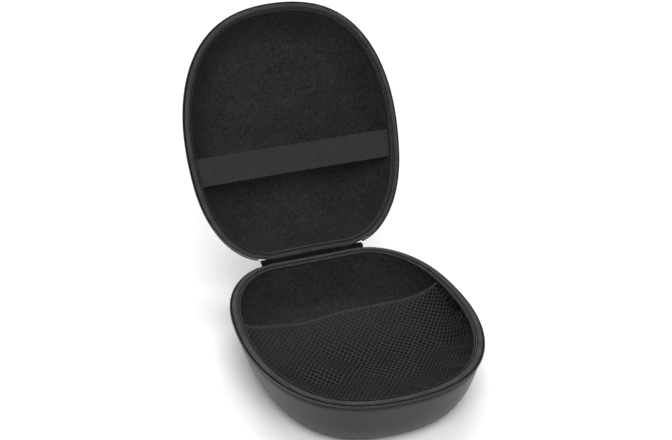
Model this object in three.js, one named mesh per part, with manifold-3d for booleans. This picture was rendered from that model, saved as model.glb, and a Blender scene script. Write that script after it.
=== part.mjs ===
// Headphone carrying case: a soft-sided moulded clamshell, stored open.
// Millimetres, +Z up. X runs along the hinge, +Y points to the hinge, and the
// origin is the centre of the flat bottom of the base.
import * as THREE from "three";
import { ParametricGeometry } from "three/addons/geometries/ParametricGeometry.js";
import Module from "manifold-3d";

// ---------------------------------------------------------------- dimensions
const BASE_H = 52; // parting plane above the flat bottom
const LID_H = 46; // depth of the lid above the parting plane
const HINGE_Y = 111.5; // hinge axis, in the parting plane
const OPEN_DEG = 115; // stored opening of the lid
const LAYER_GAP = 0.4; // clearance between neighbouring layers
const COVER_T = 0.9; // outer cloth skin
const CORE_T = 3.0; // moulded foam core
const LINING_T = 0.9; // inner cloth
const WALL_TOP = 5.5; // the walls stop this far from the parting plane
const BIND = { outer: 3.6, inner: 8.7, top: 0.25, bottom: 5.2 }; // rolled edge
const TAPE = { outer: 2.7, inner: 3.3, top: 0.6, bottom: 5.2 };
const COIL = { outer: 0, inner: 2.4, top: 0.15, bottom: 3.0 };
const STRIP_HALF = 48.5; // the zipper stops at this |x| on the hinge side
const BAND = { y0: 12.9, y1: 37.6, z0: 5.6, t: 1.0, end: 9.3 };
const HEM = { y: 33.7, width: 4.2, t: 1.6, x: 86.6 };
const POCKET = { edge: 8.3, top: 5.6, t: 0.8, sag: 20, fall: 11 };
const SLIDER = { x0: 29.5, len: 9, plate: 1.0, half: 3.2 };
const ZIP_END = { x0: 29.2, x1: 48.2, half: 1.5, out: 1.2 };
const NS_STRIP = 3; // outline samples from x = 0 to the end of the hinge strip
const NS_SIDE = 23; // and from there to the front centre

// Walls: how far the skin is inside the outline, from the rim to the bottom.
const BASE_SIDE = { e0: 1.7, c: 5, E: 22.7 };
const BASE_BACK = { e0: 2.2, c: 2.5, E: 8 };
const LID_SIDE = { e0: 0.9, c: 14, E: 17 };
const LID_BACK = { e0: 2.0, c: 6, E: 12 };

// Half of the outline as cubic B-spline controls, from the hinge to the front.
const HALF = [
  [0.0, 110.64], [22.44, 110.6], [42.39, 111.67], [59.19, 106.33], [74.29, 93.74],
  [86.65, 74.49], [94.74, 49.56], [97.88, 20.32], [98.36, -10.51], [93.84, -40.22],
  [84.11, -66.68], [69.22, -87.95], [49.64, -102.7], [26.12, -110.28], [0.0, -112.33],
];

// ------------------------------------------------------------------- outline
const CTRL = [...HALF, ...HALF.slice(1, 14).reverse().map(([x, y]) => [-x, y])];
function outline(s) {
  const t = (((s % 1) + 1) % 1) * CTRL.length;
  const i = Math.floor(t), u = t - i;
  const b = [(1 - u) ** 3 / 6, (3 * u ** 3 - 6 * u * u + 4) / 6, (-3 * u ** 3 + 3 * u * u + 3 * u + 1) / 6, u ** 3 / 6];
  const d = [-((1 - u) ** 2) / 2, (3 * u * u - 4 * u) / 2, (-3 * u * u + 2 * u + 1) / 2, (u * u) / 2];
  let x = 0, y = 0, dx = 0, dy = 0;
  for (let k = 0; k < 4; k++) {
    const c = CTRL[(i - 1 + k + CTRL.length) % CTRL.length];
    x += b[k] * c[0]; y += b[k] * c[1]; dx += d[k] * c[0]; dy += d[k] * c[1];
  }
  const l = Math.hypot(dx, dy); // runs clockwise seen from above, so inward is to its right
  return { x, y, nx: dy / l, ny: -dx / l };
}
function solve(f, lo, hi) {
  for (let i = 0; i < 60; i++) {
    const m = (lo + hi) / 2;
    if (f(m) < 0) lo = m; else hi = m;
  }
  return (lo + hi) / 2;
}
const S1 = solve((s) => outline(s).x - STRIP_HALF, 0, 0.2);
const HALF_S = [];
for (let i = 0; i <= NS_STRIP; i++) HALF_S.push((S1 * i) / NS_STRIP);
for (let i = 1; i <= NS_SIDE; i++) HALF_S.push(S1 + ((0.5 - S1) * i) / NS_SIDE);
const LOOP_S = [...HALF_S, ...HALF_S.slice(1, -1).reverse().map((s) => 1 - s), 1];
const ARC_S = LOOP_S.filter((s) => s > S1 - 1e-9 && s < 1 - S1 + 1e-9);
const at = (s, n, z) => {
  const p = outline(s);
  return new THREE.Vector3(p.x + p.nx * n, p.y + p.ny * n, z);
};

// -------------------------------------------------------------------- solids
// A closed solid from rows of points; each row is one closed section.
function loft(rows) {
  const make = (r) => new ParametricGeometry(
    (u, v, t) => t.copy(r[Math.round(v * (r.length - 1))][Math.round(u * (r[0].length - 1))]),
    r[0].length - 1, r.length - 1);
  const g = make(rows);
  if (volume(g) >= 0) return g;
  return make(rows.map((r) => [...r].reverse()));
}
function volume(g) {
  const p = (g.index ? g.toNonIndexed() : g).attributes.position;
  const a = new THREE.Vector3(), b = new THREE.Vector3(), c = new THREE.Vector3();
  let v = 0;
  for (let i = 0; i < p.count; i += 3) {
    a.fromBufferAttribute(p, i); b.fromBufferAttribute(p, i + 1); c.fromBufferAttribute(p, i + 2);
    v += a.dot(b.cross(c));
  }
  return v / 6;
}
const closed = (section) => [...section, section[0]];
// A section swept round the whole outline, or along the zipper's length.
function ring(section, up) {
  return loft(LOOP_S.map((s) => closed(section).map(([n, z]) => at(s, n, up * z))));
}
function capped(rows) {
  const middle = (r) => {
    const m = new THREE.Vector3();
    for (const p of r.slice(0, -1)) m.add(p);
    m.divideScalar(r.length - 1);
    return r.map(() => m.clone());
  };
  return loft([middle(rows[0]), ...rows, middle(rows[rows.length - 1])]);
}
function arc(section, up) {
  return capped(ARC_S.map((s) => closed(section).map(([n, z]) => at(s, n, up * z))));
}
// The wall's section: inset n and depth d at angle a, moved in by t along its normal.
const smooth = (x) => 0.5 - 0.5 * Math.cos(Math.PI * Math.min(1, Math.max(0, x)));
function wallAt(s, side, back, depth, a, t) {
  const w = 1 - smooth(Math.min(s, 1 - s) / 0.2);
  const e0 = side.e0 + (back.e0 - side.e0) * w, c = side.c + (back.c - side.c) * w, E = side.E + (back.E - side.E) * w;
  const n = e0 + c * Math.sin(a) + E * (1 - Math.cos(a)), d = depth * Math.sin(a);
  const tn = c * Math.cos(a) + E * Math.sin(a), td = depth * Math.cos(a), l = Math.hypot(tn, td);
  if (a <= Math.asin(WALL_TOP / depth) + 1e-9) return [n + (t * l) / td, d];
  return [n + (t * td) / l, d - (t * tn) / l];
}
const ANGLES = (depth) => {
  const a0 = Math.asin(WALL_TOP / depth), out = [];
  for (let i = 0; i <= 6; i++) out.push(a0 + (Math.PI / 2 - a0) * (i / 6));
  return out;
};
// One layer of a shell, between the offsets t0 and t1. up is -1 for the base and 1 for the lid.
function bowl(side, back, depth, t0, t1, up) {
  const as = ANGLES(depth);
  const rows = LOOP_S.map((s) => {
    const row = [new THREE.Vector3(0, 0, up * (depth - t0))];
    for (const a of [...as].reverse()) {
      const [n, d] = wallAt(s, side, back, depth, a, t0);
      row.push(at(s, n, up * d));
    }
    for (const a of as) {
      const [n, d] = wallAt(s, side, back, depth, a, t1);
      row.push(at(s, n, up * d));
    }
    row.push(new THREE.Vector3(0, 0, up * (depth - t1)));
    return row;
  });
  return loft(rows);
}
// A strap that follows a path of [y, z] points, t thick, from x = -half to half.
function strap(path, t, half) {
  const side = (k) => path.map((p, i) => {
    const a = path[Math.max(0, i - 1)], b = path[Math.min(path.length - 1, i + 1)];
    const l = Math.hypot(b[0] - a[0], b[1] - a[1]);
    return new THREE.Vector2(p[0] - (k * t * (b[1] - a[1])) / (2 * l), p[1] + (k * t * (b[0] - a[0])) / (2 * l));
  });
  const shape = new THREE.Shape([...side(1), ...side(-1).reverse()]);
  const g = new THREE.ExtrudeGeometry(shape, { depth: 2 * half, bevelEnabled: false });
  // the shape's x, y become Y, Z and the extrusion becomes X
  g.applyMatrix4(new THREE.Matrix4().makeBasis(new THREE.Vector3(0, 1, 0), new THREE.Vector3(0, 0, 1), new THREE.Vector3(1, 0, 0)));
  g.translate(-half, 0, 0);
  return g;
}
const boxGeo = (x0, x1, y0, y1, z0, z1) =>
  new THREE.BoxGeometry(x1 - x0, y1 - y0, z1 - z0).translate((x0 + x1) / 2, (y0 + y1) / 2, (z0 + z1) / 2);

const wasm = await Module();
wasm.setup();
function solid(g) {
  const p = (g.index ? g.toNonIndexed() : g).attributes.position;
  const key = new Map(), verts = [], tris = [];
  for (let i = 0; i < p.count; i++) {
    const k = [p.getX(i), p.getY(i), p.getZ(i)].map((c) => Math.round(c * 1e4)).join();
    if (!key.has(k)) { key.set(k, verts.length / 3); verts.push(p.getX(i), p.getY(i), p.getZ(i)); }
    tris.push(key.get(k));
  }
  return new wasm.Manifold(new wasm.Mesh({ numProp: 3, vertProperties: new Float32Array(verts), triVerts: new Uint32Array(tris) }));
}
function geometry(m) {
  const q = m.getMesh();
  const g = new THREE.BufferGeometry();
  g.setAttribute("position", new THREE.BufferAttribute(new Float32Array(q.vertProperties), 3));
  g.setIndex(new THREE.BufferAttribute(new Uint32Array(q.triVerts), 1));
  return g.toNonIndexed();
}
const join = (...gs) => geometry(wasm.Manifold.union(gs.map(solid)));

// ----------------------------------------------------------------- materials
const mat = (color, roughness, metalness = 0) => new THREE.MeshStandardMaterial({ color, roughness, metalness });
function mesh(name, g, material) {
  const m = new THREE.Mesh(g, material);
  m.name = name;
  return m;
}

// ------------------------------------------------------------ the two shells
function shell(prefix, side, back, depth, up) {
  const t1 = COVER_T, t2 = t1 + LAYER_GAP, t3 = t2 + CORE_T, t4 = t3 + LAYER_GAP, t5 = t4 + LINING_T;
  const b = BIND;
  const g = new THREE.Group();
  g.add(
    mesh(prefix + "_cover", bowl(side, back, depth, 0, t1, up), mat(0x161719, 0.5)),
    mesh(prefix + "_core", bowl(side, back, depth, t2, t3, up), mat(0x26272a, 0.9)),
    mesh(prefix + "_lining", bowl(side, back, depth, t4, t5, up), mat(0x1a1b1d, 0.95)),
    mesh(prefix + "_binding", ring([
      [b.outer, b.bottom], [b.outer, b.top + 1.1], [b.outer + 1.2, b.top],
      [b.inner - 1.6, b.top], [b.inner, b.top + 1.4], [b.inner, b.bottom],
    ], up), mat(0x232427, 0.85)),
    mesh(prefix + "_zipper_tape", arc([
      [TAPE.outer, TAPE.bottom], [TAPE.outer, TAPE.top], [TAPE.inner, TAPE.top], [TAPE.inner, TAPE.bottom],
    ], up), mat(0x1c1d1f, 0.9)),
    mesh(prefix + "_zipper_coil", arc([
      [COIL.outer, COIL.bottom - 0.6], [COIL.outer, COIL.top + 0.6], [COIL.outer + 0.6, COIL.top],
      [COIL.inner, COIL.top], [COIL.inner, COIL.bottom], [COIL.outer + 0.6, COIL.bottom],
    ], up), mat(0x111214, 0.35)),
  );
  return g;
}

// ------------------------------------------------------------- base and lid
const root = new THREE.Group();
const base = shell("base", BASE_SIDE, BASE_BACK, BASE_H, -1);
base.position.z = BASE_H;
root.add(base);

const hinge = new THREE.Group(); // turns about the hinge axis
hinge.position.set(0, HINGE_Y, BASE_H);
hinge.rotation.x = THREE.MathUtils.degToRad(-OPEN_DEG);
root.add(hinge);
const lid = shell("lid", LID_SIDE, LID_BACK, LID_H, 1);
lid.position.y = -HINGE_Y;
hinge.add(lid);

// --------------------------------------------------------------- mesh pocket
// The net hangs from the rim round the front of the base up to a bound hem.
const hemY = (x) => HEM.y + 0.03 * x;
const SP = solve((s) => -(outline(s).y - hemY(outline(s).x) + 2), 0.1, 0.4);
const sag = (p, rim, hem) => POCKET.top + POCKET.sag * (1 - Math.exp(-rim / POCKET.fall)) * (1 - 0.5 * Math.exp(-hem / 26));
{
  const NU = 30, NV = 8, rows = [];
  const hemX = (k) => HEM.x * Math.cos(Math.PI * k); // from right to left
  const top = [];
  for (let i = 0; i <= NU; i++) {
    const k = i / NU, s = SP + (1 - 2 * SP) * k;
    const a = at(s, POCKET.edge, 0);
    const x = hemX(k), bpt = new THREE.Vector3(x, hemY(x) - HEM.width / 2 - LAYER_GAP, 0);
    const row = [];
    for (let j = 0; j <= NV; j++) {
      const v = (j / NV) ** 1.35;
      const p = a.clone().lerp(bpt, v);
      let rim = 1e9;
      for (let q = 0; q < 240; q++) {
        const o = at(q / 240, POCKET.edge, 0);
        rim = Math.min(rim, Math.hypot(o.x - p.x, o.y - p.y));
      }
      if (j === 0) rim = 0;
      p.z = -sag(p, rim, hemY(p.x) - p.y);
      row.push(p);
    }
    top.push(row);
  }
  for (let i = 0; i <= NU; i++) {
    const under = top[i].map((p) => new THREE.Vector3(p.x, p.y, p.z - POCKET.t));
    rows.push(closed([...top[i], ...under.reverse()]));
  }
  base.add(mesh("mesh_pocket", capped(rows), mat(0x0c0c0d, 0.8)));

  const hemRows = [];
  for (let i = 0; i <= 24; i++) {
    const x = HEM.x * (1 - i / 12), w = HEM.width / 2, y = hemY(x);
    const rim = Math.max(0, HEM.x - Math.abs(x)) + 0.8;
    const z = -sag(null, rim, 0) + 0.4;
    hemRows.push(closed([[y - w, z - HEM.t], [y - w, z], [y + w, z], [y + w, z - HEM.t]].map(([a, b]) => new THREE.Vector3(x, a, b))));
  }
  base.add(mesh("mesh_pocket_hem", capped(hemRows), mat(0x202124, 0.85)));
}

// -------------------------------------------------------------- elastic band
{
  const end = (y, sgn) => {
    const s = solve((q) => -(outline(q).y - y), 0.1, 0.4);
    return sgn * (outline(s).x - BAND.end);
  };
  const { y0, y1 } = BAND;
  const pts = [[end(y0, 1), y0], [end(y1, 1), y1], [end(y1, -1), y1], [end(y0, -1), y0]];
  const g = new THREE.ExtrudeGeometry(new THREE.Shape(pts.map(([x, y]) => new THREE.Vector2(x, y))), { depth: BAND.t, bevelEnabled: false });
  g.translate(0, 0, BAND.z0);
  lid.add(mesh("elastic_band", g, mat(0x1e1f22, 0.85)));
}

// --------------------------------------------------------------- hinge strip
// Each strap is straight when the case is closed; here it is folded with the lid open.
// Half of its path is given from the base, and the other half is its mirror image.
function folded(half) {
  const th = THREE.MathUtils.degToRad(OPEN_DEG / 2), bx = -Math.cos(th), bz = Math.sin(th);
  const other = half.map(([y, z]) => {
    const k = 2 * (y * bx + z * bz);
    return [k * bx - y, k * bz - z];
  }).reverse();
  return [...half, ...other];
}
const straps = new THREE.Group();
straps.position.set(0, HINGE_Y, BASE_H);
root.add(straps);
straps.add(
  mesh("hinge_strip_inner", strap(folded([[-3.45, -5.2], [-3.45, -1.0], [-2.2, 1.6]]), 0.7, 46.8), mat(0x1b1c1e, 0.9)),
  mesh("hinge_strip_outer", strap(folded([[-2.3, -9], [-2.3, -1.2], [-1.35, 0.75]]), 0.8, 27.4), mat(0x161719, 0.5)),
);

// ------------------------------------------------- zipper ends, sliders, pulls
// They lie on the hinge side, and turn with half of the lid's angle.
function zipperEnd(name, sgn) {
  const g = new THREE.Group();
  g.position.set(0, HINGE_Y, BASE_H);
  g.rotation.x = THREE.MathUtils.degToRad(-OPEN_DEG / 2);
  const X = (a, b) => (sgn > 0 ? [a, b] : [-b, -a]);
  const [e0, e1] = X(ZIP_END.x0, ZIP_END.x1), h = ZIP_END.half, o = ZIP_END.out;
  g.add(mesh("zipper_end_" + name, boxGeo(e0, e1, o - 1.2, o + 0.5, -h, h), mat(0x111214, 0.35)));
  const [t0, t1] = X(27.9, 28.9);
  g.add(mesh("zipper_stop_" + name, boxGeo(t0, t1, o - 1.2, o + 1.4, -2.0, 2.0), mat(0x2a2b2e, 0.3, 1)));

  const { x0, len, plate, half } = SLIDER;
  const [s0, s1] = X(x0, x0 + len), cx = (s0 + s1) / 2;
  const y0 = o + 0.8, y1 = y0 + plate;
  g.add(mesh("slider_" + name, join(
    boxGeo(s0, s1, y0, y1, -half, half),
    boxGeo(s0, s1, o - 0.8, y0 + 0.1, 1.8, 2.5),
    boxGeo(s0, s1, o - 0.8, y0 + 0.1, -2.5, -1.8),
    boxGeo(cx - 3.2, cx - 2.0, y1 - 0.1, y1 + 3.2, -0.8, 0.8),
    boxGeo(cx + 2.0, cx + 3.2, y1 - 0.1, y1 + 3.2, -0.8, 0.8),
    boxGeo(cx - 3.2, cx + 3.2, y1 + 2.0, y1 + 3.2, -0.8, 0.8),
  ), mat(0x2a2b2e, 0.35, 1)));

  // the pull: a flat tab with a window that the slider's crown passes through
  const r = y1 + 1.0;
  const tab = new THREE.Shape([
    [-0.6, -2.3], [5.2, -2.3], [7.5, -3.4], [26, -3.4], [27.5, -2.2], [27.5, 2.2], [26, 3.4], [7.5, 3.4], [5.2, 2.3], [-0.6, 2.3],
  ].map(([a, b]) => new THREE.Vector2(a, b)));
  tab.holes.push(new THREE.Path([[0.6, -1.3], [4.3, -1.3], [4.3, 1.3], [0.6, 1.3]].map(([a, b]) => new THREE.Vector2(a, b))));
  const pg = new THREE.ExtrudeGeometry(tab, { depth: 1.2, bevelEnabled: false });
  pg.translate(0, 0, -0.6);
  // the tab's x, y and depth become Y, Z and X
  pg.applyMatrix4(new THREE.Matrix4().makeBasis(new THREE.Vector3(0, 1, 0), new THREE.Vector3(0, 0, 1), new THREE.Vector3(1, 0, 0)));
  pg.translate(cx, r, 0);
  g.add(mesh("pull_" + name, pg, mat(0x2a2b2e, 0.35, 1)));
  root.add(g);
}
zipperEnd("right", 1);
zipperEnd("left", -1);

export default root;
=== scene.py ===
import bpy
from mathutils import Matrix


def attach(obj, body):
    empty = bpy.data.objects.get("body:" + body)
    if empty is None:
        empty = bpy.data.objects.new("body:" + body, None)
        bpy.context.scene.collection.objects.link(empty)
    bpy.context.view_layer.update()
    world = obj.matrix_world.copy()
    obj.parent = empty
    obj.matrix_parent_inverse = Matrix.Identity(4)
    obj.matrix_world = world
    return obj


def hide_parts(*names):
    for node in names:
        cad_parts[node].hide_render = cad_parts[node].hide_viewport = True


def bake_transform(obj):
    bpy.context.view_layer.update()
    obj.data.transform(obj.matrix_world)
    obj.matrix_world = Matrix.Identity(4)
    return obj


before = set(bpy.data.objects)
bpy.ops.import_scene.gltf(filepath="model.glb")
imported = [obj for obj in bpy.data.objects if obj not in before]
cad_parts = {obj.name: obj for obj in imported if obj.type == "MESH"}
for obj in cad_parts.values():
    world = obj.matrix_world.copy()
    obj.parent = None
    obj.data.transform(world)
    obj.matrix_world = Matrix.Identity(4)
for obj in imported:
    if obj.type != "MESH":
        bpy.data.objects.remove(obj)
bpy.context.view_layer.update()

import math

import bpy
import numpy as np
from mathutils import Matrix, Vector
from mathutils.bvhtree import BVHTree

# ------------------------------------------------------------------ dimensions
BASE_H, LID_H, HINGE_Y = 52.0, 46.0, 111.5
OPEN = math.radians(115)
CO, SO = math.cos(OPEN), math.sin(OPEN)
WALL_TOP = 5.5
BASE_SIDE, BASE_BACK = (1.7, 5.0, 22.7), (2.2, 2.5, 8.0)
LID_SIDE, LID_BACK = (0.9, 14.0, 17.0), (2.0, 6.0, 12.0)
HALF = [
    [0.0, 110.64], [22.44, 110.6], [42.39, 111.67], [59.19, 106.33], [74.29, 93.74],
    [86.65, 74.49], [94.74, 49.56], [97.88, 20.32], [98.36, -10.51], [93.84, -40.22],
    [84.11, -66.68], [69.22, -87.95], [49.64, -102.7], [26.12, -110.28], [0.0, -112.33],
]
CTRL = np.array(HALF + [[-x, y] for x, y in HALF[13:0:-1]])
COIL_PITCH = 1.55
STITCH_PITCH = 2.8
STRIP_HALF = 48.5


# --------------------------------------------------------------------- outline
def spline(s):
    t = np.mod(s, 1.0) * len(CTRL)
    i = np.floor(t).astype(int)
    u = t - i
    b = [(1 - u) ** 3 / 6, (3 * u**3 - 6 * u**2 + 4) / 6, (-3 * u**3 + 3 * u**2 + 3 * u + 1) / 6, u**3 / 6]
    d = [-((1 - u) ** 2) / 2, (3 * u * u - 4 * u) / 2, (-3 * u * u + 2 * u + 1) / 2, u * u / 2]
    p = sum(b[k][..., None] * CTRL[(i - 1 + k) % len(CTRL)] for k in range(4))
    q = sum(d[k][..., None] * CTRL[(i - 1 + k) % len(CTRL)] for k in range(4))
    q = q / np.linalg.norm(q, axis=-1, keepdims=True)
    return p, np.stack([q[..., 1], -q[..., 0]], -1)


_s = np.arange(14001) / 14000
_p, _ = spline(_s)
_len = np.concatenate([[0], np.cumsum(np.linalg.norm(np.diff(_p, axis=0), axis=1))])
LOOP = float(_len[-1])
L1 = float(np.interp(STRIP_HALF, _p[:1500, 0], _len[:1500]))  # where the zipper starts


def s_of(L):
    return np.interp(np.mod(L, LOOP), _len, _s)


def place(x, y, d, lid):
    """A point of a shell: d is its distance from the parting plane. In the row frame, in millimetres."""
    x, y, d = np.broadcast_arrays(np.asarray(x, float), np.asarray(y, float), np.asarray(d, float))
    if not lid:
        return np.stack([x, y, BASE_H - d], -1)
    dy = y - HINGE_Y
    return np.stack([x, HINGE_Y + CO * dy + SO * d, BASE_H - SO * dy + CO * d], -1)


def rim(L, n, d, lid):
    """L along the outline, n inward from it, d from the parting plane."""
    p, q = spline(s_of(L))
    n = np.asarray(n, float)
    return place(p[..., 0] + q[..., 0] * n, p[..., 1] + q[..., 1] * n, d, lid)


def wobble(x, y, seed, scale):
    """A smooth, repeatable unevenness between about -1 and 1."""
    r = np.random.default_rng(seed)
    v = 0
    for _ in range(7):
        k = r.uniform(0.5, 1.6) / scale
        a, f = r.uniform(0, 2 * math.pi, 2)
        v = v + np.sin(k * (x * math.cos(a) + y * math.sin(a)) * 2 * math.pi + f)
    return v / 4


# ---------------------------------------------------------------------- meshes
def signed_volume(v, f):
    a, b, c = v[f[:, 0]], v[f[:, 1]], v[f[:, 2]]
    w = (a * np.cross(b, c)).sum()
    if f.shape[1] == 4:
        a, b, c = v[f[:, 0]], v[f[:, 2]], v[f[:, 3]]
        w += (a * np.cross(b, c)).sum()
    return w


def new_mesh(name, verts, quads, tris=None, ngons=(), uv=None, smooth=True):
    """verts in mm. uv is one (u, v) per corner of quads, then of tris, in mm."""
    me = bpy.data.meshes.new(name)
    verts = np.asarray(verts, float) * 0.001
    faces = [tuple(map(int, f)) for f in quads]
    if tris is not None:
        faces += [tuple(map(int, f)) for f in tris]
    faces += [tuple(map(int, f)) for f in ngons]
    me.from_pydata(verts.tolist(), [], faces)
    if uv is not None:
        layer = me.uv_layers.new(name="weave")
        flat = np.zeros((len(me.loops), 2), np.float32)
        flat[: len(uv)] = uv
        layer.data.foreach_set("uv", flat.ravel())
    if smooth:
        me.polygons.foreach_set("use_smooth", np.ones(len(me.polygons), bool))
    me.validate(verbose=False)
    me.update()
    ob = bpy.data.objects.new(name, me)
    bpy.context.scene.collection.objects.link(ob)
    return ob


def grid(name, P, U=None, V=None, wr=False, wc=True, caps="ngon", smooth=True, sharp=None):
    """A surface from rows of sections, P[row][column]. wr and wc close it along rows and columns."""
    R, C = P.shape[:2]
    verts = P.reshape(-1, 3)
    i = np.arange(R if wr else R - 1)
    j = np.arange(C if wc else C - 1)
    I, J = np.meshgrid(i, j, indexing="ij")
    I2, J2 = (I + 1) % R, (J + 1) % C
    quads = np.stack([I * C + J, I * C + J2, I2 * C + J2, I2 * C + J], -1).reshape(-1, 4)
    if U is None:
        d = np.linalg.norm(np.diff(P.mean(1), axis=0, append=P.mean(1)[:1]), axis=-1)
        U = np.concatenate([[0], np.cumsum(d)])
    if V is None:
        m = P[R // 2]
        d = np.linalg.norm(np.diff(m, axis=0, append=m[:1]), axis=-1)
        V = np.concatenate([[0], np.cumsum(d)])
    uu, vv = np.asarray(U, float), np.asarray(V, float)
    uv = np.stack([
        np.stack([uu[I], vv[J]], -1), np.stack([uu[I], vv[J + 1]], -1),
        np.stack([uu[I + 1], vv[J + 1]], -1), np.stack([uu[I + 1], vv[J]], -1)], 2).reshape(-1, 4, 2)
    flip = signed_volume(verts, quads) < 0
    ngons = []
    if not wr and wc and caps == "ngon":
        a, b = list(range(C)), list(range((R - 1) * C, R * C))
        ngons = [a[::-1], b]
    if flip:
        quads, uv = quads[:, ::-1], uv[:, ::-1]
        ngons = [g[::-1] for g in ngons]
    if not wr and wc and ngons:
        # the caps' sense is opposite to the sides' along their shared edge
        e = (int(quads[0][0]), int(quads[0][1]))
        q = [(int(f[k]), int(f[(k + 1) % 4])) for f in quads[: C] for k in range(4)]
        g = ngons[0]
        if (g[0], g[1]) in q:
            ngons = [h[::-1] for h in ngons]
    ob = new_mesh(name, verts, quads, ngons=ngons, uv=uv.reshape(-1, 2), smooth=smooth)
    if ngons:
        me = ob.data
        n = len(me.polygons)
        for k in (n - 1, n - 2):
            me.polygons[k].use_smooth = False
    return ob


def tube(name, path, radius, sides=6, closed=False, up=None, U=None, ratio=1.0):
    """A tube round a path of points (mm)."""
    P = np.asarray(path, float)
    if closed:
        T = np.roll(P, -1, 0) - np.roll(P, 1, 0)
    else:
        T = np.gradient(P, axis=0)
    T /= np.linalg.norm(T, axis=1, keepdims=True)
    up = np.broadcast_to(np.asarray(up, float), P.shape)
    A = up - (up * T).sum(1, keepdims=True) * T
    A /= np.maximum(np.linalg.norm(A, axis=1, keepdims=True), 1e-9)
    B = np.cross(T, A)
    a = np.arange(sides) * 2 * math.pi / sides
    r = np.broadcast_to(np.asarray(radius, float), (len(P),))[:, None, None]
    S = P[:, None] + r * (np.cos(a)[None, :, None] * A[:, None] * ratio + np.sin(a)[None, :, None] * B[:, None])
    return grid(name, S, wr=closed, wc=True, U=U)


def chaikin(pts, times=2, closed=True):
    p = np.asarray(pts, float)
    for _ in range(times):
        if closed:
            q = np.roll(p, -1, 0)
            p = np.stack([0.75 * p + 0.25 * q, 0.25 * p + 0.75 * q], 1).reshape(-1, p.shape[1])
        else:
            q = np.stack([0.75 * p[:-1] + 0.25 * p[1:], 0.25 * p[:-1] + 0.75 * p[1:]], 1).reshape(-1, p.shape[1])
            p = np.vstack([p[:1], q, p[-1:]])
    return p


def join(name, obs):
    """One object from several meshes; their faces keep their material slots."""
    for o in bpy.context.selected_objects:
        o.select_set(False)
    for o in obs:
        o.select_set(True)
    bpy.context.view_layer.objects.active = obs[0]
    bpy.ops.object.join()
    obs[0].name = name
    obs[0].data.name = name
    return obs[0]


# ------------------------------------------------------------------- materials
def node_material(name):
    m = bpy.data.materials.new(name)
    m.use_nodes = True
    nt = m.node_tree
    return m, nt, nt.nodes["Principled BSDF"]


def N(nt, kind, inputs=None, **props):
    n = nt.nodes.new(kind)
    for k, v in props.items():
        setattr(n, k, v)
    for k, v in (inputs or {}).items():
        if isinstance(v, bpy.types.NodeSocket):
            nt.links.new(v, n.inputs[k])
        else:
            n.inputs[k].default_value = v
    return n


def math_(nt, op, a, b=None, clamp=False):
    n = nt.nodes.new("ShaderNodeMath")
    n.operation = op
    n.use_clamp = clamp
    for k, v in enumerate([a] if b is None else [a, b]):
        if isinstance(v, bpy.types.NodeSocket):
            nt.links.new(v, n.inputs[k])
        else:
            n.inputs[k].default_value = v
    return n.outputs[0]


def ramp(nt, fac, stops):
    n = nt.nodes.new("ShaderNodeValToRGB")
    nt.links.new(fac, n.inputs[0])
    e = n.color_ramp.elements
    while len(e) < len(stops):
        e.new(0.5)
    for k, (pos, col) in enumerate(stops):
        e[k].position = pos
        e[k].color = (*col, 1) if len(col) == 3 else (col[0],) * 3 + (1,)
    return n.outputs[0]


def coords(nt, uv=True):
    """Millimetre coordinates: along and across the strip, or in space."""
    t = nt.nodes.new("ShaderNodeTexCoord")
    if uv:
        return t.outputs["UV"]
    n = N(nt, "ShaderNodeVectorMath", {0: t.outputs["Object"]}, operation="SCALE")
    n.inputs["Scale"].default_value = 1000.0
    return n.outputs[0]


def split(nt, vec):
    n = nt.nodes.new("ShaderNodeSeparateXYZ")
    nt.links.new(vec, n.inputs[0])
    return n.outputs[0], n.outputs[1], n.outputs[2]


def combine(nt, x, y, z=0.0):
    n = nt.nodes.new("ShaderNodeCombineXYZ")
    for k, v in enumerate((x, y, z)):
        if isinstance(v, bpy.types.NodeSocket):
            nt.links.new(v, n.inputs[k])
        else:
            n.inputs[k].default_value = v
    return n.outputs[0]


def wave(nt, x, pitch, phase=0.0):
    """0..1 ridges, one per pitch."""
    a = math_(nt, "MULTIPLY", x, 2 * math.pi / pitch)
    a = math_(nt, "ADD", a, phase)
    return math_(nt, "ADD", math_(nt, "MULTIPLY", math_(nt, "SINE", a), 0.5), 0.5)


def bump(nt, bsdf, height, strength, mm):
    b = N(nt, "ShaderNodeBump", {"Strength": strength, "Distance": mm * 0.001, "Height": height})
    nt.links.new(b.outputs[0], bsdf.inputs["Normal"])
    return b


def mix_height(nt, parts):
    total = None
    for h, k in parts:
        h = math_(nt, "MULTIPLY", h, k)
        total = h if total is None else math_(nt, "ADD", total, h)
    return total


def noise(nt, vec, scale, detail=3.0, rough=0.5, out="Fac"):
    n = N(nt, "ShaderNodeTexNoise", {"Vector": vec, "Scale": scale, "Detail": detail, "Roughness": rough})
    return n.outputs[out]


def voronoi(nt, vec, scale, feature="F1", out="Distance", rnd=1.0):
    n = N(nt, "ShaderNodeTexVoronoi", {"Vector": vec, "Scale": scale, "Randomness": rnd}, feature=feature)
    return n.outputs[out]


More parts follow.
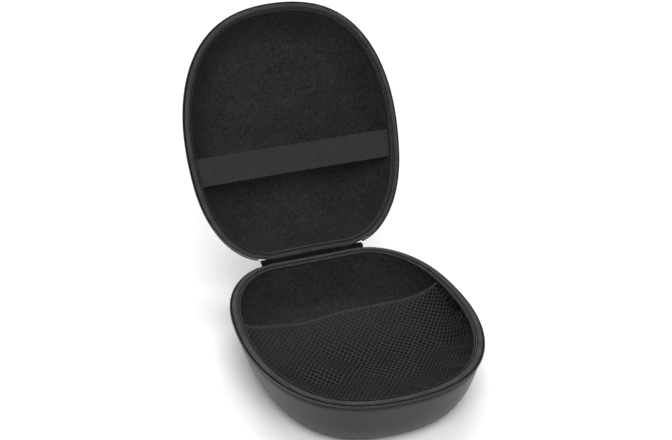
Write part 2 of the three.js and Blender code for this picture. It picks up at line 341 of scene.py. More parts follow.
def leather_material(name="case_cover_polyurethane"):
    m, nt, b = node_material(name)
    c = coords(nt, uv=False)
    grain = voronoi(nt, c, 1.1, "SMOOTH_F1")
    fine = noise(nt, c, 2.6, 4.0, 0.6)
    broad = noise(nt, c, 0.02, 2.0)
    col = ramp(nt, math_(nt, "ADD", math_(nt, "MULTIPLY", fine, 0.35), math_(nt, "MULTIPLY", broad, 0.65)),
               [(0.3, (0.0120, 0.0122, 0.0125)), (0.7, (0.0180, 0.0182, 0.0185))])
    nt.links.new(col, b.inputs["Base Color"])
    r = math_(nt, "ADD", math_(nt, "MULTIPLY", noise(nt, c, 0.35, 3.0), 0.10), 0.36)
    r = math_(nt, "ADD", r, math_(nt, "MULTIPLY", grain, 0.05))
    nt.links.new(r, b.inputs["Roughness"])
    b.inputs["Specular IOR Level"].default_value = 0.5
    bump(nt, b, mix_height(nt, [(grain, 0.7), (fine, 0.5)]), 0.35, 0.05)
    return m


def jersey_material(name="lining_jersey", low=0.0085, high=0.0165, sheen=0.12):
    m, nt, b = node_material(name)
    c = coords(nt, uv=False)
    x, y, z = split(nt, c)
    # a knit reads as fine ribs broken by a random pile
    n1 = noise(nt, c, 0.75, 4.0, 0.75)
    n2 = noise(nt, c, 0.22, 3.0, 0.5)
    n3 = noise(nt, c, 0.018, 2.0, 0.5)
    pile = voronoi(nt, c, 2.0)
    f = mix_height(nt, [(n1, 0.72), (n2, 0.16), (n3, 0.12)])
    col = ramp(nt, f, [(0.36, (low, low * 1.02, low * 1.05)), (0.68, (high, high * 1.01, high * 1.04))])
    nt.links.new(col, b.inputs["Base Color"])
    b.inputs["Roughness"].default_value = 0.95
    b.inputs["Specular IOR Level"].default_value = 0.1
    b.inputs["Sheen Weight"].default_value = sheen
    b.inputs["Sheen Roughness"].default_value = 0.6
    bump(nt, b, mix_height(nt, [(n1, 0.6), (pile, 0.4)]), 0.5, 0.18)
    return m


def ribbed_material(name, pitch, low, high, cross=0.9, rough=0.8, sheen=0.2, along=(1.0, 0.0), height=0.16, spec=0.3, ribs=0.30, blotch=1.0, groove_shade=None):
    """Woven tape. u runs along the tape and v across it, and the ribs repeat along the direction given.
    The last argument paints shade along the pressed, stitched groove of a seam, as (v, half width)."""
    m, nt, b = node_material(name)
    uv = coords(nt)
    u, v, _ = split(nt, uv)
    q = math_(nt, "ADD", math_(nt, "MULTIPLY", u, along[0]), math_(nt, "MULTIPLY", v, along[1]))
    jitter = noise(nt, combine(nt, u, v), 0.7, 2.0)
    q = math_(nt, "ADD", q, math_(nt, "MULTIPLY", jitter, pitch * 0.5))
    rib = wave(nt, q, pitch)
    weft = wave(nt, math_(nt, "SUBTRACT", math_(nt, "MULTIPLY", v, along[0]), math_(nt, "MULTIPLY", u, along[1])), cross)
    n1 = noise(nt, combine(nt, u, v), 0.9, 4.0, 0.65)
    n2 = noise(nt, combine(nt, u, v), 0.10, 2.0, 0.5)
    h = mix_height(nt, [(rib, 0.7), (weft, 0.3), (n1, 0.5)])
    rest = 1.0 - ribs - 0.1
    f = mix_height(nt, [(rib, ribs), (weft, 0.10), (n1, rest * 0.7), (n2, rest * 0.3)])
    # painted shade: the colour darkens along the stitched groove, where the roll's overhang shades it
    if groove_shade:
        away = math_(nt, "ABSOLUTE", math_(nt, "SUBTRACT", v, groove_shade[0]), 0.0)
        keep = math_(nt, "DIVIDE", math_(nt, "SUBTRACT", away, groove_shade[1] * 0.7), groove_shade[1] * 0.6, clamp=True)
        f = math_(nt, "MULTIPLY", f, math_(nt, "ADD", math_(nt, "MULTIPLY", keep, 0.8), 0.2))
    col = ramp(nt, f, [(0.5 - 0.22 * blotch, (low, low * 1.01, low * 1.03)), (0.5 + 0.25 * blotch, (high, high * 1.01, high * 1.03))])
    nt.links.new(col, b.inputs["Base Color"])
    b.inputs["Roughness"].default_value = rough
    b.inputs["Specular IOR Level"].default_value = spec
    b.inputs["Sheen Weight"].default_value = sheen
    b.inputs["Sheen Roughness"].default_value = 0.5
    bump(nt, b, h, 0.8, height)
    return m


def thread_material(name, low, high, rough=0.6, spec=0.4, twist=1.1):
    m, nt, b = node_material(name)
    c = coords(nt, uv=False)
    x, y, z = split(nt, c)
    n1 = noise(nt, c, 3.0, 3.0, 0.6)
    strand = wave(nt, math_(nt, "ADD", math_(nt, "ADD", x, y), z), twist * 0.3)
    f = mix_height(nt, [(n1, 0.6), (strand, 0.4)])
    col = ramp(nt, f, [(0.3, (low, low * 1.01, low * 1.02)), (0.7, (high, high * 1.01, high * 1.02))])
    nt.links.new(col, b.inputs["Base Color"])
    b.inputs["Roughness"].default_value = rough
    b.inputs["Specular IOR Level"].default_value = spec
    bump(nt, b, f, 0.5, 0.06)
    return m


def nylon_material(name="zipper_coil_nylon"):
    m, nt, b = node_material(name)
    c = coords(nt, uv=False)
    n1 = noise(nt, c, 1.2, 2.0)
    # u counts turns: the outer face of each turn is painted pale, a painted highlight for the glint on each head; the
    # rest keeps the dark dye
    turn, _, _ = split(nt, coords(nt))
    face = wave(nt, turn, 1.0, -math.pi / 2)
    face = math_(nt, "POWER", face, 1.4)
    f = mix_height(nt, [(n1, 0.3), (face, 0.7)])
    # the palest stop is the painted highlight on the coil heads
    col = ramp(nt, f, [(0.15, (0.004, 0.004, 0.0042)), (0.45, (0.030, 0.030, 0.031)), (0.80, (0.12, 0.12, 0.121))])
    nt.links.new(col, b.inputs["Base Color"])
    r = math_(nt, "ADD", math_(nt, "MULTIPLY", n1, 0.12), 0.30)
    nt.links.new(r, b.inputs["Roughness"])
    b.inputs["Specular IOR Level"].default_value = 0.22
    return m


def foam_material(name="core_foam"):
    m, nt, b = node_material(name)
    c = coords(nt, uv=False)
    cell = voronoi(nt, c, 1.8)
    n1 = noise(nt, c, 0.7, 3.0)
    col = ramp(nt, mix_height(nt, [(cell, 0.5), (n1, 0.5)]), [(0.2, (0.016, 0.016, 0.017)), (0.8, (0.03, 0.03, 0.031))])
    nt.links.new(col, b.inputs["Base Color"])
    b.inputs["Roughness"].default_value = 0.95
    b.inputs["Specular IOR Level"].default_value = 0.2
    bump(nt, b, cell, 0.5, 0.15)
    return m


def enamel_material(name="zipper_enamel"):
    m, nt, b = node_material(name)
    c = coords(nt, uv=False)
    n1 = noise(nt, c, 1.5, 4.0, 0.6)
    n2 = noise(nt, c, 0.2, 2.0)
    geo = nt.nodes.new("ShaderNodeNewGeometry")
    edge = math_(nt, "SUBTRACT", geo.outputs["Pointiness"], 0.5)
    worn = math_(nt, "MULTIPLY", math_(nt, "MAXIMUM", math_(nt, "SUBTRACT", edge, 0.03), 0.0), 6.0, clamp=True)
    worn = math_(nt, "MULTIPLY", worn, n1)
    col = ramp(nt, math_(nt, "ADD", worn, math_(nt, "MULTIPLY", n2, 0.1)),
               [(0.0, (0.012, 0.012, 0.013)), (0.9, (0.16, 0.16, 0.165))])
    nt.links.new(col, b.inputs["Base Color"])
    r = math_(nt, "ADD", math_(nt, "MULTIPLY", n1, 0.18), 0.22)
    nt.links.new(r, b.inputs["Roughness"])
    b.inputs["Metallic"].default_value = 0.35
    bump(nt, b, n1, 0.15, 0.03)
    return m


M_COVER = leather_material()
M_LINING = jersey_material(low=0.006, high=0.046, sheen=0.0)
M_LINING.node_tree.nodes["Principled BSDF"].inputs["Specular IOR Level"].default_value = 0.05
# the binding's colour carries painted shade along its stitched groove
M_BINDING = ribbed_material("binding_grosgrain", 0.62, 0.006, 0.084, cross=0.5, rough=0.8, sheen=0.04, height=0.16, ribs=0.2, blotch=0.8, spec=0.08, groove_shade=(100.0, 2.1))
M_TAPE = ribbed_material("zipper_tape_weave", 0.9, 0.003, 0.010, cross=0.45, rough=0.9, sheen=0.0, along=(0.78, 0.62), height=0.10, spec=0.06)
M_COIL = nylon_material()
M_STITCH = thread_material("stitch_thread", 0.05, 0.14, rough=0.6, spec=0.4)
M_CORD = thread_material("coil_sewing_thread", 0.003, 0.007, rough=0.9, spec=0.05)
M_LOOP = thread_material("coil_loop_thread", 0.040, 0.110, rough=0.5, spec=0.4)
M_NET = thread_material("net_polyester", 0.008, 0.027, rough=0.55, spec=0.14)
M_HEM = ribbed_material("pocket_hem_tape", 0.5, 0.012, 0.026, cross=0.45, rough=0.85, sheen=0.05, height=0.08)
M_BAND = ribbed_material("elastic_band_weave", 2.1, 0.014, 0.034, cross=0.6, rough=0.85, sheen=0.03, along=(0.4226, 0.9063), height=0.18, ribs=0.34, blotch=0.9, spec=0.2)
M_STRIP = ribbed_material("hinge_cloth", 0.8, 0.003, 0.007, cross=0.6, rough=0.95, sheen=0.0, height=0.08, spec=0.05)
M_FOAM = foam_material()
M_ENAMEL = enamel_material()


def piece(ob, mat, body, slot, *nodes):
    if mat is not None:
        ob.data.materials.clear()
        ob.data.materials.append(mat)
    if body:
        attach(ob, body)
    if nodes:
        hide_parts(*nodes)
    return ob


# ----------------------------------------------------------------------- walls
def wall(s, side, back, depth, a, t, crown=0.0):
    w = np.minimum(s, 1 - s) / 0.2
    w = 1 - (0.5 - 0.5 * np.cos(math.pi * np.clip(w, 0, 1)))
    e0, c, E = (side[k] + (back[k] - side[k]) * w for k in range(3))
    n = e0 + c * np.sin(a) + E * (1 - np.cos(a))
    d = depth * np.sin(a)
    tn, td = c * np.cos(a) + E * np.sin(a), depth * np.cos(a)
    l = np.hypot(tn, td)
    return n + t * td / l, d - t * tn / l


def bowl(name, lid, t0, t1, ns, top=WALL_TOP, na=26, uneven=0.0, seed=1, lip=0.25):
    side, back, depth = (LID_SIDE, LID_BACK, LID_H) if lid else (BASE_SIDE, BASE_BACK, BASE_H)
    crown = 2.2 if lid else 0.0
    L = np.arange(ns) / ns * LOOP
    s = s_of(L)
    p, q = spline(s)
    a0 = math.asin(top / depth)
    A = a0 + (math.pi / 2 - a0) * np.linspace(0, 1, na) ** 0.85
    K = np.array([0.04, 0.16, 0.32, 0.5, 0.66, 0.8, 0.91])  # share of the flat's radius

    def layer(t, inner):
        cols = []
        n, d = wall(s, side, back, depth, np.full(ns, math.pi / 2), t)
        cx, cy = p[:, 0] + q[:, 0] * n, p[:, 1] + q[:, 1] * n
        for k in K:
            bulge = crown * (1 - k * k)
            cols.append((cx * k, cy * k + 7.0 * (1 - k), d + bulge))
        run = [wall(s, side, back, depth, np.full(ns, a), t) for a in A]
        nn = np.minimum.accumulate(np.stack([r[0] for r in run], 1)[:, ::-1], axis=1)[:, ::-1]
        dd = np.minimum(np.maximum.accumulate(np.stack([r[1] for r in run], 1), axis=1), depth - t)
        for k in range(na - 1, -1, -1):
            n, d = nn[:, k], dd[:, k]
            if k == 0:
                d = np.full(ns, top + lip)
            cols.append((p[:, 0] + q[:, 0] * n, p[:, 1] + q[:, 1] * n, d))
        X, Y, D = (np.stack([np.broadcast_to(c[k], (ns,)) for c in cols], 1) for k in range(3))
        if uneven:
            D = D - uneven * wobble(X, Y, seed, 55.0) * np.clip((D - top - 4) / 12, 0, 1) * (1 if inner or lid else np.clip((depth - D) / 12, 0, 1))
        return X, Y, D

    Xo, Yo, Do = layer(t0, False)
    Xi, Yi, Di = layer(t1, True)
    # the edge between the two, rounded
    mid = np.stack([(Xo[:, -1] + Xi[:, -1]) / 2, (Yo[:, -1] + Yi[:, -1]) / 2, np.full(ns, top - 0.0)], 1)
    X = np.concatenate([Xo, mid[:, 0:1], Xi[:, ::-1]], 1)
    Y = np.concatenate([Yo, mid[:, 1:2], Yi[:, ::-1]], 1)
    D = np.concatenate([Do, mid[:, 2:3], Di[:, ::-1]], 1)
    P = place(X, Y, D, lid)
    R, C = P.shape[:2]
    verts = P.reshape(-1, 3)
    poles = np.stack([place(0.0, 7.0, Do[:, 0].mean() + crown * 0.0016, lid), place(0.0, 7.0, Di[:, 0].mean(), lid)])
    verts = np.vstack([verts, poles])
    i, j = np.arange(R), np.arange(C - 1)
    I, J = np.meshgrid(i, j, indexing="ij")
    I2 = (I + 1) % R
    quads = np.stack([I * C + J, I * C + J + 1, I2 * C + J + 1, I2 * C + J], -1).reshape(-1, 4)
    ia = np.arange(R)
    ib = (ia + 1) % R
    tris = np.vstack([np.stack([np.full(R, R * C), ia * C, ib * C], 1),
                      np.stack([np.full(R, R * C + 1), ib * C + C - 1, ia * C + C - 1], 1)])
    if signed_volume(verts, quads) < 0:
        quads, tris = quads[:, ::-1], tris[:, ::-1]
    return new_mesh(name, verts, quads, tris=tris)


def hinge_side(L, width=6.0):
    """1 along the hinge, 0 elsewhere."""
    p, _ = spline(s_of(L))
    x = np.abs(p[:, 0])
    w = np.clip((STRIP_HALF + 1.0 - x) / width, 0, 1) * (p[:, 1] > 0)
    return w * w * (3 - 2 * w)


def inner_curve(lid, L, na=30):
    """The inside face of the lining. It bridges the shell's tight lower corner in one soft sweep."""
    side, back, depth = (LID_SIDE, LID_BACK, LID_H) if lid else (BASE_SIDE, BASE_BACK, BASE_H)
    reach = (37.5, 33.0) if lid else (35.0, 25.0)
    kappa = (0.56, 0.66) if lid else (0.56, 0.70)
    floor = depth - 5.6
    ns = len(L)
    s = s_of(L)
    w = np.minimum(s, 1 - s) / 0.2
    w = 1 - (0.5 - 0.5 * np.cos(math.pi * np.clip(w, 0, 1)))
    n0, _ = wall(s, side, back, depth, np.full(ns, math.asin(4.9 / depth)), 5.1)
    mix = lambda ab: ab[0] + (ab[1] - ab[0]) * w
    nE, k, c = mix(reach), mix(kappa), mix((side[1], back[1]))
    # at the hinge the foam is pressed thin, most of all in the lid
    n0 = n0 - (2.5 if lid else 0.0) * hinge_side(L, 14.0)
    d0 = 4.9 if lid else 3.4
    if not lid:
        n0 = np.full(ns, 7.7)
    drop = floor - d0
    P0 = np.stack([n0, np.full(ns, d0)], 1)
    lean = c * drop / depth
    P1 = P0 + np.stack([lean * k, drop * k], 1)
    P3 = np.stack([nE, np.full(ns, floor)], 1)
    P2 = P3 - np.stack([(nE - n0 - lean) * k, np.zeros(ns)], 1)
    t3 = np.linspace(0, 1, na)[None, :, None]
    curve = (1 - t3) ** 3 * P0[:, None] + 3 * (1 - t3) ** 2 * t3 * P1[:, None] + 3 * (1 - t3) * t3**2 * P2[:, None] + t3**3 * P3[:, None]
    tan = 3 * ((1 - t3) ** 2 * (P1 - P0)[:, None] + 2 * (1 - t3) * t3 * (P2 - P1)[:, None] + t3**2 * (P3 - P2)[:, None])
    tan /= np.linalg.norm(tan, axis=-1, keepdims=True)
    return curve, np.stack([-tan[..., 1], tan[..., 0]], -1), floor


def soft_bowl(name, lid, ns, outer_of, t_in, rim_d, na=30):
    """A bowl between the inner curve set back by t_in and the outer curve that outer_of gives."""
    crown = 2.0 if lid else 0.0
    L = np.arange(ns) / ns * LOOP
    p, q = spline(s_of(L))
    curve, nrm, floor = inner_curve(lid, L, na)
    K = np.array([0.05, 0.15, 0.28, 0.42, 0.56, 0.69, 0.80, 0.89, 0.96])

    def layer(cv, d0):
        X = p[:, None, 0] + q[:, None, 0] * cv[..., 0]
        Y = p[:, None, 1] + q[:, None, 1] * cv[..., 0]
        D = cv[..., 1].copy()
        cx, cy = X[:, -1:] * K, Y[:, -1:] * K + 5.0 * (1 - K)
        cd = d0 + crown * (1 - K**2)[None] ** 2 + 0 * cx
        X, Y, D = np.concatenate([cx, X[:, ::-1]], 1), np.concatenate([cy, Y[:, ::-1]], 1), np.concatenate([cd, D[:, ::-1]], 1)
        D = D - 0.35 * wobble(X, Y, 31 + lid, 60.0) * np.clip((D - 12) / 14, 0, 1)
        return X, Y, D

    Xi, Yi, Di = layer(curve + nrm * t_in, floor + t_in)
    ov, od = outer_of(L, curve, nrm, floor)
    Xo, Yo, Do = layer(ov, od)
    mid = [(Xo[:, -1:] + Xi[:, -1:]) / 2, (Yo[:, -1:] + Yi[:, -1:]) / 2, np.full((ns, 1), rim_d)]
    X, Y, D = (np.concatenate([a, m, b[:, ::-1]], 1) for a, m, b in ((Xo, mid[0], Xi), (Yo, mid[1], Yi), (Do, mid[2], Di)))
    P = place(X, Y, D, lid)
    R, C = P.shape[:2]
    poles = np.stack([place(0.0, 5.0, Do[:, 0].mean(), lid), place(0.0, 5.0, Di[:, 0].mean(), lid)])
    verts = np.vstack([P.reshape(-1, 3), poles])
    I, J = np.meshgrid(np.arange(R), np.arange(C - 1), indexing="ij")
    I2 = (I + 1) % R
    quads = np.stack([I * C + J, I * C + J + 1, I2 * C + J + 1, I2 * C + J], -1).reshape(-1, 4)
    ia = np.arange(R)
    ib = (ia + 1) % R
    tris = np.vstack([np.stack([np.full(R, R * C), ia * C, ib * C], 1),
                      np.stack([np.full(R, R * C + 1), ib * C + C - 1, ia * C + C - 1], 1)])
    if signed_volume(verts, quads) < 0:
        quads, tris = quads[:, ::-1], tris[:, ::-1]
    return new_mesh(name, verts, quads, tris=tris)


def lining_back(L, curve, nrm, floor):
    return curve + nrm * 0.7, floor + 0.7


def core_back(lid):
    side, back, depth = (LID_SIDE, LID_BACK, LID_H) if lid else (BASE_SIDE, BASE_BACK, BASE_H)

    def f(L, curve, nrm, floor):
        na = curve.shape[1]
        a0 = math.asin(5.5 / depth)
        A = a0 + (math.pi / 2 - a0) * np.linspace(0, 1, na)
        s = s_of(L)
        run = [wall(s, side, back, depth, np.full(len(L), a), 1.25) for a in A]
        nn = np.minimum.accumulate(np.stack([r[0] for r in run], 1)[:, ::-1], axis=1)[:, ::-1]
        dd = np.minimum(np.maximum.accumulate(np.stack([r[1] for r in run], 1), axis=1), depth - 1.25)
        return np.stack([nn, dd], -1), depth - 1.25

    return f


for lid in (False, True):
    who = "lid" if lid else "base"
    cover = bowl(f"{who}_cover_skin", lid, 0.0, 0.9, 420, top=6.3, na=30, uneven=0.10, seed=11 + lid)
    piece(cover, M_COVER, who, "cover", f"{who}_cover")
    core = soft_bowl(f"{who}_core_foam", lid, 200, core_back(lid), 0.9, 5.0 if lid else 4.4, na=20)
    piece(core, M_FOAM, who, "core", f"{who}_core")
    lining = soft_bowl(f"{who}_lining_jersey", lid, 360, lining_back, 0.0, 4.6 if lid else 3.1)
    piece(lining, M_LINING, who, "lining", f"{who}_lining")


# ------------------------------------------------------------- rolled binding
BIND = chaikin([
    (3.6, 5.0), (3.2, 4.0), (2.95, 2.8), (2.7, 1.9), (2.1, 1.45), (1.95, 0.9), (2.35, 0.42), (3.3, 0.22), (4.4, 0.22), (5.3, 0.36), (5.95, 0.75),
    (6.3, 1.5), (6.55, 2.6), (6.85, 3.0), (7.1, 2.5), (7.35, 1.6), (7.8, 1.1), (8.35, 1.1), (8.85, 1.6), (9.1, 2.6), (9.05, 4.0), (8.75, 5.2),
    (7.8, 5.6), (6.0, 5.5), (4.5, 5.4)], 1)
BIND_BASE = chaikin([
    (3.6, 5.0), (3.2, 4.0), (2.95, 2.8), (2.7, 1.9), (2.1, 1.45), (1.95, 0.9), (2.35, 0.42), (3.3, 0.22), (4.4, 0.22), (5.3, 0.36), (5.85, 0.75),
    (6.15, 1.5), (6.4, 2.6), (6.85, 3.0), (7.15, 2.5), (7.35, 1.6), (7.8, 1.1), (8.35, 1.05), (8.85, 1.35), (9.1, 1.95), (8.95, 2.55), (8.3, 2.95),
    (7.6, 3.6), (6.0, 4.6), (4.5, 5.2)], 1)
GROOVE = (6.80, 1.75)


def squeeze(n, lid):
    """The lid's binding is a little narrower than the base's."""
    return 2.0 + (n - 2.0) * 0.84 if lid else n


def binding(lid):
    who = "lid" if lid else "base"
    n_st = int(round(LOOP / STITCH_PITCH))
    pitch = LOOP / n_st
    R = n_st * 4
    L = np.arange(R) / R * LOOP
    h = hinge_side(L, 14.0)
    shape = BIND if lid else BIND_BASE
    arc = np.concatenate([[0], np.cumsum(np.linalg.norm(np.diff(shape, axis=0, append=shape[:1]), axis=1))])
    # across the tape, 100 marks the bottom of the stitched groove, where the binding's colour gets its painted shade
    deep = np.abs(shape[:, 0] - 6.85) + 10 * (shape[:, 1] > 3.3)
    arc = arc - arc[int(np.argmin(deep - 0.3 * shape[:, 1]))] + 100.0
    sec = np.broadcast_to(shape, (R,) + shape.shape).copy()
    # along the hinge the roll is fuller towards the other half
    if lid:
        sec[..., 0] -= 1.1 * h[:, None] * np.clip((6.2 - sec[..., 1]) / 1.2, 0, 1)
    else:
        out = np.clip((5.6 - sec[..., 0]) / 3.0, 0, 1) * np.clip((4.4 - sec[..., 1]) / 1.6, 0, 1)
        sec[..., 0] -= 0.3 * h[:, None] * out
    # the stitches pull the groove down and the roll in
    ph = 2 * np.pi * L / pitch
    near = np.exp(-((sec[..., 0] - GROOVE[0]) / 0.8) ** 2) * (sec[..., 1] < 3.4)
    sec[..., 1] += (0.05 + 0.22 * np.cos(ph))[:, None] * near
    soft = 0.07 * np.sin(L / 5.3 + 1.0 + lid) + 0.05 * np.sin(L / 2.1 + 2.0) + 0.03 * np.sin(L / 1.13)
    top = np.clip((3.0 - sec[..., 1]) / 2.0, 0, 1)
    sec[..., 1] += (soft * 0.8)[:, None] * top * 0.6
    sec[..., 0] += (soft * 0.9)[:, None] * np.clip((sec[..., 0] - 6.9) / 1.5, 0, 1)
    sec[..., 1] = np.maximum(sec[..., 1], 0.17)
    P = rim(L[:, None] + 0 * sec[..., 0], squeeze(sec[..., 0], lid), sec[..., 1], lid)
    ob = grid(f"{who}_binding_roll", P, U=np.append(L, LOOP), V=arc, wr=True, wc=True)
    piece(ob, M_BINDING, who, "binding", f"{who}_binding")
    # one lock stitch a pitch
    verts, quads = [], []
    k = 0
    prof = [(-1.02, 0.03, 1.25), (-0.90, 0.17, 0.25), (-0.5, 0.30, -0.14), (0, 0.33, -0.24), (0.5, 0.30, -0.14), (0.90, 0.17, 0.25), (1.02, 0.03, 1.25)]
    rng = np.random.default_rng(5 + lid)
    for i in range(n_st):
        Lc = (i + 0.5) * pitch
        sk = rng.normal(0, 0.07)
        ring = []
        for du, r, dip in prof:
            c = np.array([squeeze(GROOVE[0] - (1.1 * float(h[i * 4]) if lid else 0.0), lid) + sk * du + rng.normal(0, 0.01), GROOVE[1] + dip])
            ang = np.arange(6) * math.pi / 3
            ring.append(rim(np.full(6, Lc + du), c[0] + r * np.cos(ang), c[1] + r * np.sin(ang) * 0.8, lid))
        ring = np.array(ring)
        m = len(prof)
        verts.append(ring.reshape(-1, 3))
        for a in range(m - 1):
            for b in range(6):
                quads.append((k + a * 6 + b, k + a * 6 + (b + 1) % 6, k + (a + 1) * 6 + (b + 1) % 6, k + (a + 1) * 6 + b))
        k += m * 6
    V = np.vstack(verts)
    Q = np.array(quads)
    if signed_volume(V, Q) < 0:
        Q = Q[:, ::-1]
    caps = []
    for i in range(n_st):
        o = i * len(prof) * 6
        first, last = [o + b for b in range(6)], [o + (len(prof) - 1) * 6 + b for b in range(6)]
        e = (int(Q[i * (len(prof) - 1) * 6][0]), int(Q[i * (len(prof) - 1) * 6][1]))
        # edge 0-1 of the first ring is used in one sense by the side, so the cap uses the other
        if e == (first[0], first[1]):
            caps += [first[::-1], last]
        else:
            caps += [first, last[::-1]]
    st = new_mesh(f"{who}_binding_stitches", V, Q, ngons=caps)
    piece(st, M_STITCH, who, "binding")
    return ob


for lid in (False, True):
    binding(lid)


# -------------------------------------------------------------- zipper halves
def superellipse(ph, k=0.75):
    c, s = np.cos(ph), np.sin(ph)
    return np.sign(c) * np.abs(c) ** k, np.sign(s) * np.abs(s) ** k


def zipper(lid):
    who = "lid" if lid else "base"
    La, Lb = L1, LOOP - L1
    n = int((Lb - La) / 1.1)
    L = np.linspace(La, Lb, n)
    mid = chaikin([(1.92, 2.1), (1.92, 3.2), (1.95, 4.6), (2.15, 5.7), (2.75, 6.3), (3.35, 6.8), (3.75, 7.6), (3.95, 8.8)], 2, closed=False)
    t = np.gradient(mid, axis=0)
    t /= np.linalg.norm(t, axis=1, keepdims=True)
    nm = np.stack([t[:, 1], -t[:, 0]], 1)
    th = np.interp(mid[:, 1], [0, 4, 6.6, 8.8], [0.22, 0.22, 0.16, 0.14])[:, None]
    sec = np.vstack([mid + nm * th, (mid - nm * th)[::-1]])
    P = rim(np.broadcast_to(L[:, None], (n, len(sec))), sec[None, :, 0], sec[None, :, 1], lid)
    tape = grid(f"{who}_zipper_tape_woven", P, U=L)
    piece(tape, M_TAPE, who, "zipper_tape", f"{who}_zipper_tape")
    # the coil: one turn of monofilament a pitch
    turns = int((Lb - La - 1.2) / COIL_PITCH)
    k = 14
    u = np.arange(turns * k + 1) / k
    Lc = La + 0.6 + u * COIL_PITCH
    cx, sy = superellipse(2 * np.pi * u + (0.0 if lid else math.pi))
    nn, dd = 0.90 + 0.56 * cx, 2.25 + 0.95 * sy
    path = rim(Lc, nn, dd, lid)
    centre = rim(Lc, np.full_like(Lc, 0.9), np.full_like(Lc, 2.25), lid)
    coil = tube(f"{who}_zipper_coil_turns", path, 0.33, 6, up=path - centre, U=u + (0.0 if lid else 0.5))
    piece(coil, M_COIL, who, "zipper_coil", f"{who}_zipper_coil")
    # the filler cord inside the turns
    a = np.arange(12) * math.pi / 6
    fx, fy = superellipse(a, 0.8)
    Lf = np.linspace(La + 0.4, Lb - 0.4, int((Lb - La) / 1.2))
    F = rim(np.broadcast_to(Lf[:, None], (len(Lf), 12)), 0.90 + 0.40 * fx[None], 2.25 + 0.78 * fy[None], lid)
    cord = grid(f"{who}_coil_filler_cord", F, U=Lf)
    piece(cord, M_CORD, who, "zipper_tape")
    # the sewing that holds the coil down: a cord laid over its turns, and one loop of thread a turn on the tape
    m = int((Lb - La) / COIL_PITCH * 4)
    Lt = np.linspace(La + 0.3, Lb - 0.3, m)
    ph = 2 * np.pi * (Lt - La) / COIL_PITCH
    row = rim(Lt, 0.85 + 0.10 * np.cos(ph), 3.62 + 0.05 * np.sin(ph), lid)
    up = rim(Lt, np.zeros(m), np.full(m, 3.6), lid) - rim(Lt, np.ones(m), np.full(m, 3.6), lid)
    thread = tube(f"{who}_coil_thread", row, 0.26, 6, up=up)
    piece(thread, M_CORD, who, "zipper_tape")
    verts, quads, caps = [], [], []
    prof = np.array([(1.62, 3.75, 0.10), (1.38, 3.95, 0.24), (1.30, 4.35, 0.30), (1.34, 4.85, 0.30), (1.48, 5.25, 0.24), (1.74, 5.45, 0.10)])
    ang = np.arange(6) * math.pi / 3
    o = 0
    for i in range(turns):
        Ls = La + 0.9 + i * COIL_PITCH
        skew = 0.10
        ring = []
        for kk, (n_, d_, r_) in enumerate(prof):
            ring.append(rim(Ls + skew * kk + r_ * np.cos(ang) * 1.05, n_ + r_ * np.sin(ang) * 0.8, np.full(6, d_), lid))
        verts.append(np.array(ring).reshape(-1, 3))
        for a_ in range(len(prof) - 1):
            for b_ in range(6):
                quads.append((o + a_ * 6 + b_, o + a_ * 6 + (b_ + 1) % 6, o + (a_ + 1) * 6 + (b_ + 1) % 6, o + (a_ + 1) * 6 + b_))
        caps += [[o + b_ for b_ in range(6)][::-1], [o + (len(prof) - 1) * 6 + b_ for b_ in range(6)]]
        o += len(prof) * 6
    V, Q = np.vstack(verts), np.array(quads)
    if signed_volume(V, Q) < 0:
        Q = Q[:, ::-1]
        caps = [c[::-1] for c in caps]
    loops = new_mesh(f"{who}_coil_loops", V, Q, ngons=caps)
    piece(loops, M_LOOP, who, "zipper_tape")


for lid in (False, True):
    zipper(lid)


# --------------------------------------------------------------- elastic band
def elastic():
    y0, y1 = 12.9, 37.6
    sec = []
    w = 12.35
    for yy, zz in chaikin([(-w, -0.5), (-w, 0.5), (-w + 0.6, 0.62), (-w + 1.4, 0.5), (-4, 0.5), (4, 0.5), (w - 1.4, 0.5), (w - 0.6, 0.62), (w, 0.5),
                           (w, -0.5), (w - 0.6, -0.62), (w - 1.4, -0.5), (4, -0.5), (-4, -0.5), (-w + 1.4, -0.5), (-w + 0.6, -0.62)], 1):
        sec.append((yy, zz))
    sec = np.array(sec)
    n = 150
    t = np.linspace(-1, 1, n)
    yc = 25.25
    Y = yc + sec[None, :, 0] * (1 - 0.03 * (1 - np.abs(t)[:, None] ** 2) + 0.0)
    ends = np.interp(Y, [5, 12.9, 37.6, 45], [97.65, 97.65, 95.85, 95.0]) - 8.3
    X = t[:, None] * ends
    D = 6.15 + sec[None, :, 1] + 0.9 * (1 - t[:, None] ** 2) * 0.35 + 0.10 * np.sin(t[:, None] * 9 + sec[None, :, 0] / 5)
    D = D + 0.5 * np.clip((np.abs(t[:, None]) - 0.955) / 0.045, 0, 1) * 0.2
    P = place(X, Y, D, True)
    U = np.linspace(-89, 89, n)
    V = np.concatenate([[0], np.cumsum(np.linalg.norm(np.diff(sec, axis=0, append=sec[:1]), axis=1))])
    ob = grid("elastic_band_woven", P, U=U, V=V)
    piece(ob, M_BAND, "lid", "elastic", "elastic_band")


elastic()


# ---------------------------------------------------------------- net pocket
HEM_Y, HEM_X, POCKET_EDGE = 33.7, 86.6, 8.3
NET_WIDE, NET_HIGH = 4.75, 2.62
hem_y = lambda x: HEM_Y + 0.03 * x


def solve(f, lo, hi):
    for _ in range(60):
        m = (lo + hi) / 2
        if f(m) < 0:
            lo = m
        else:
            hi = m
    return (lo + hi) / 2


def _end(s):
    p, _ = spline(np.array([s]))
    return -(p[0, 1] - hem_y(p[0, 0]) + 2)


SP = solve(_end, 0.1, 0.4)
LP0 = float(np.interp(SP, _s, _len))
LP1 = LOOP - LP0


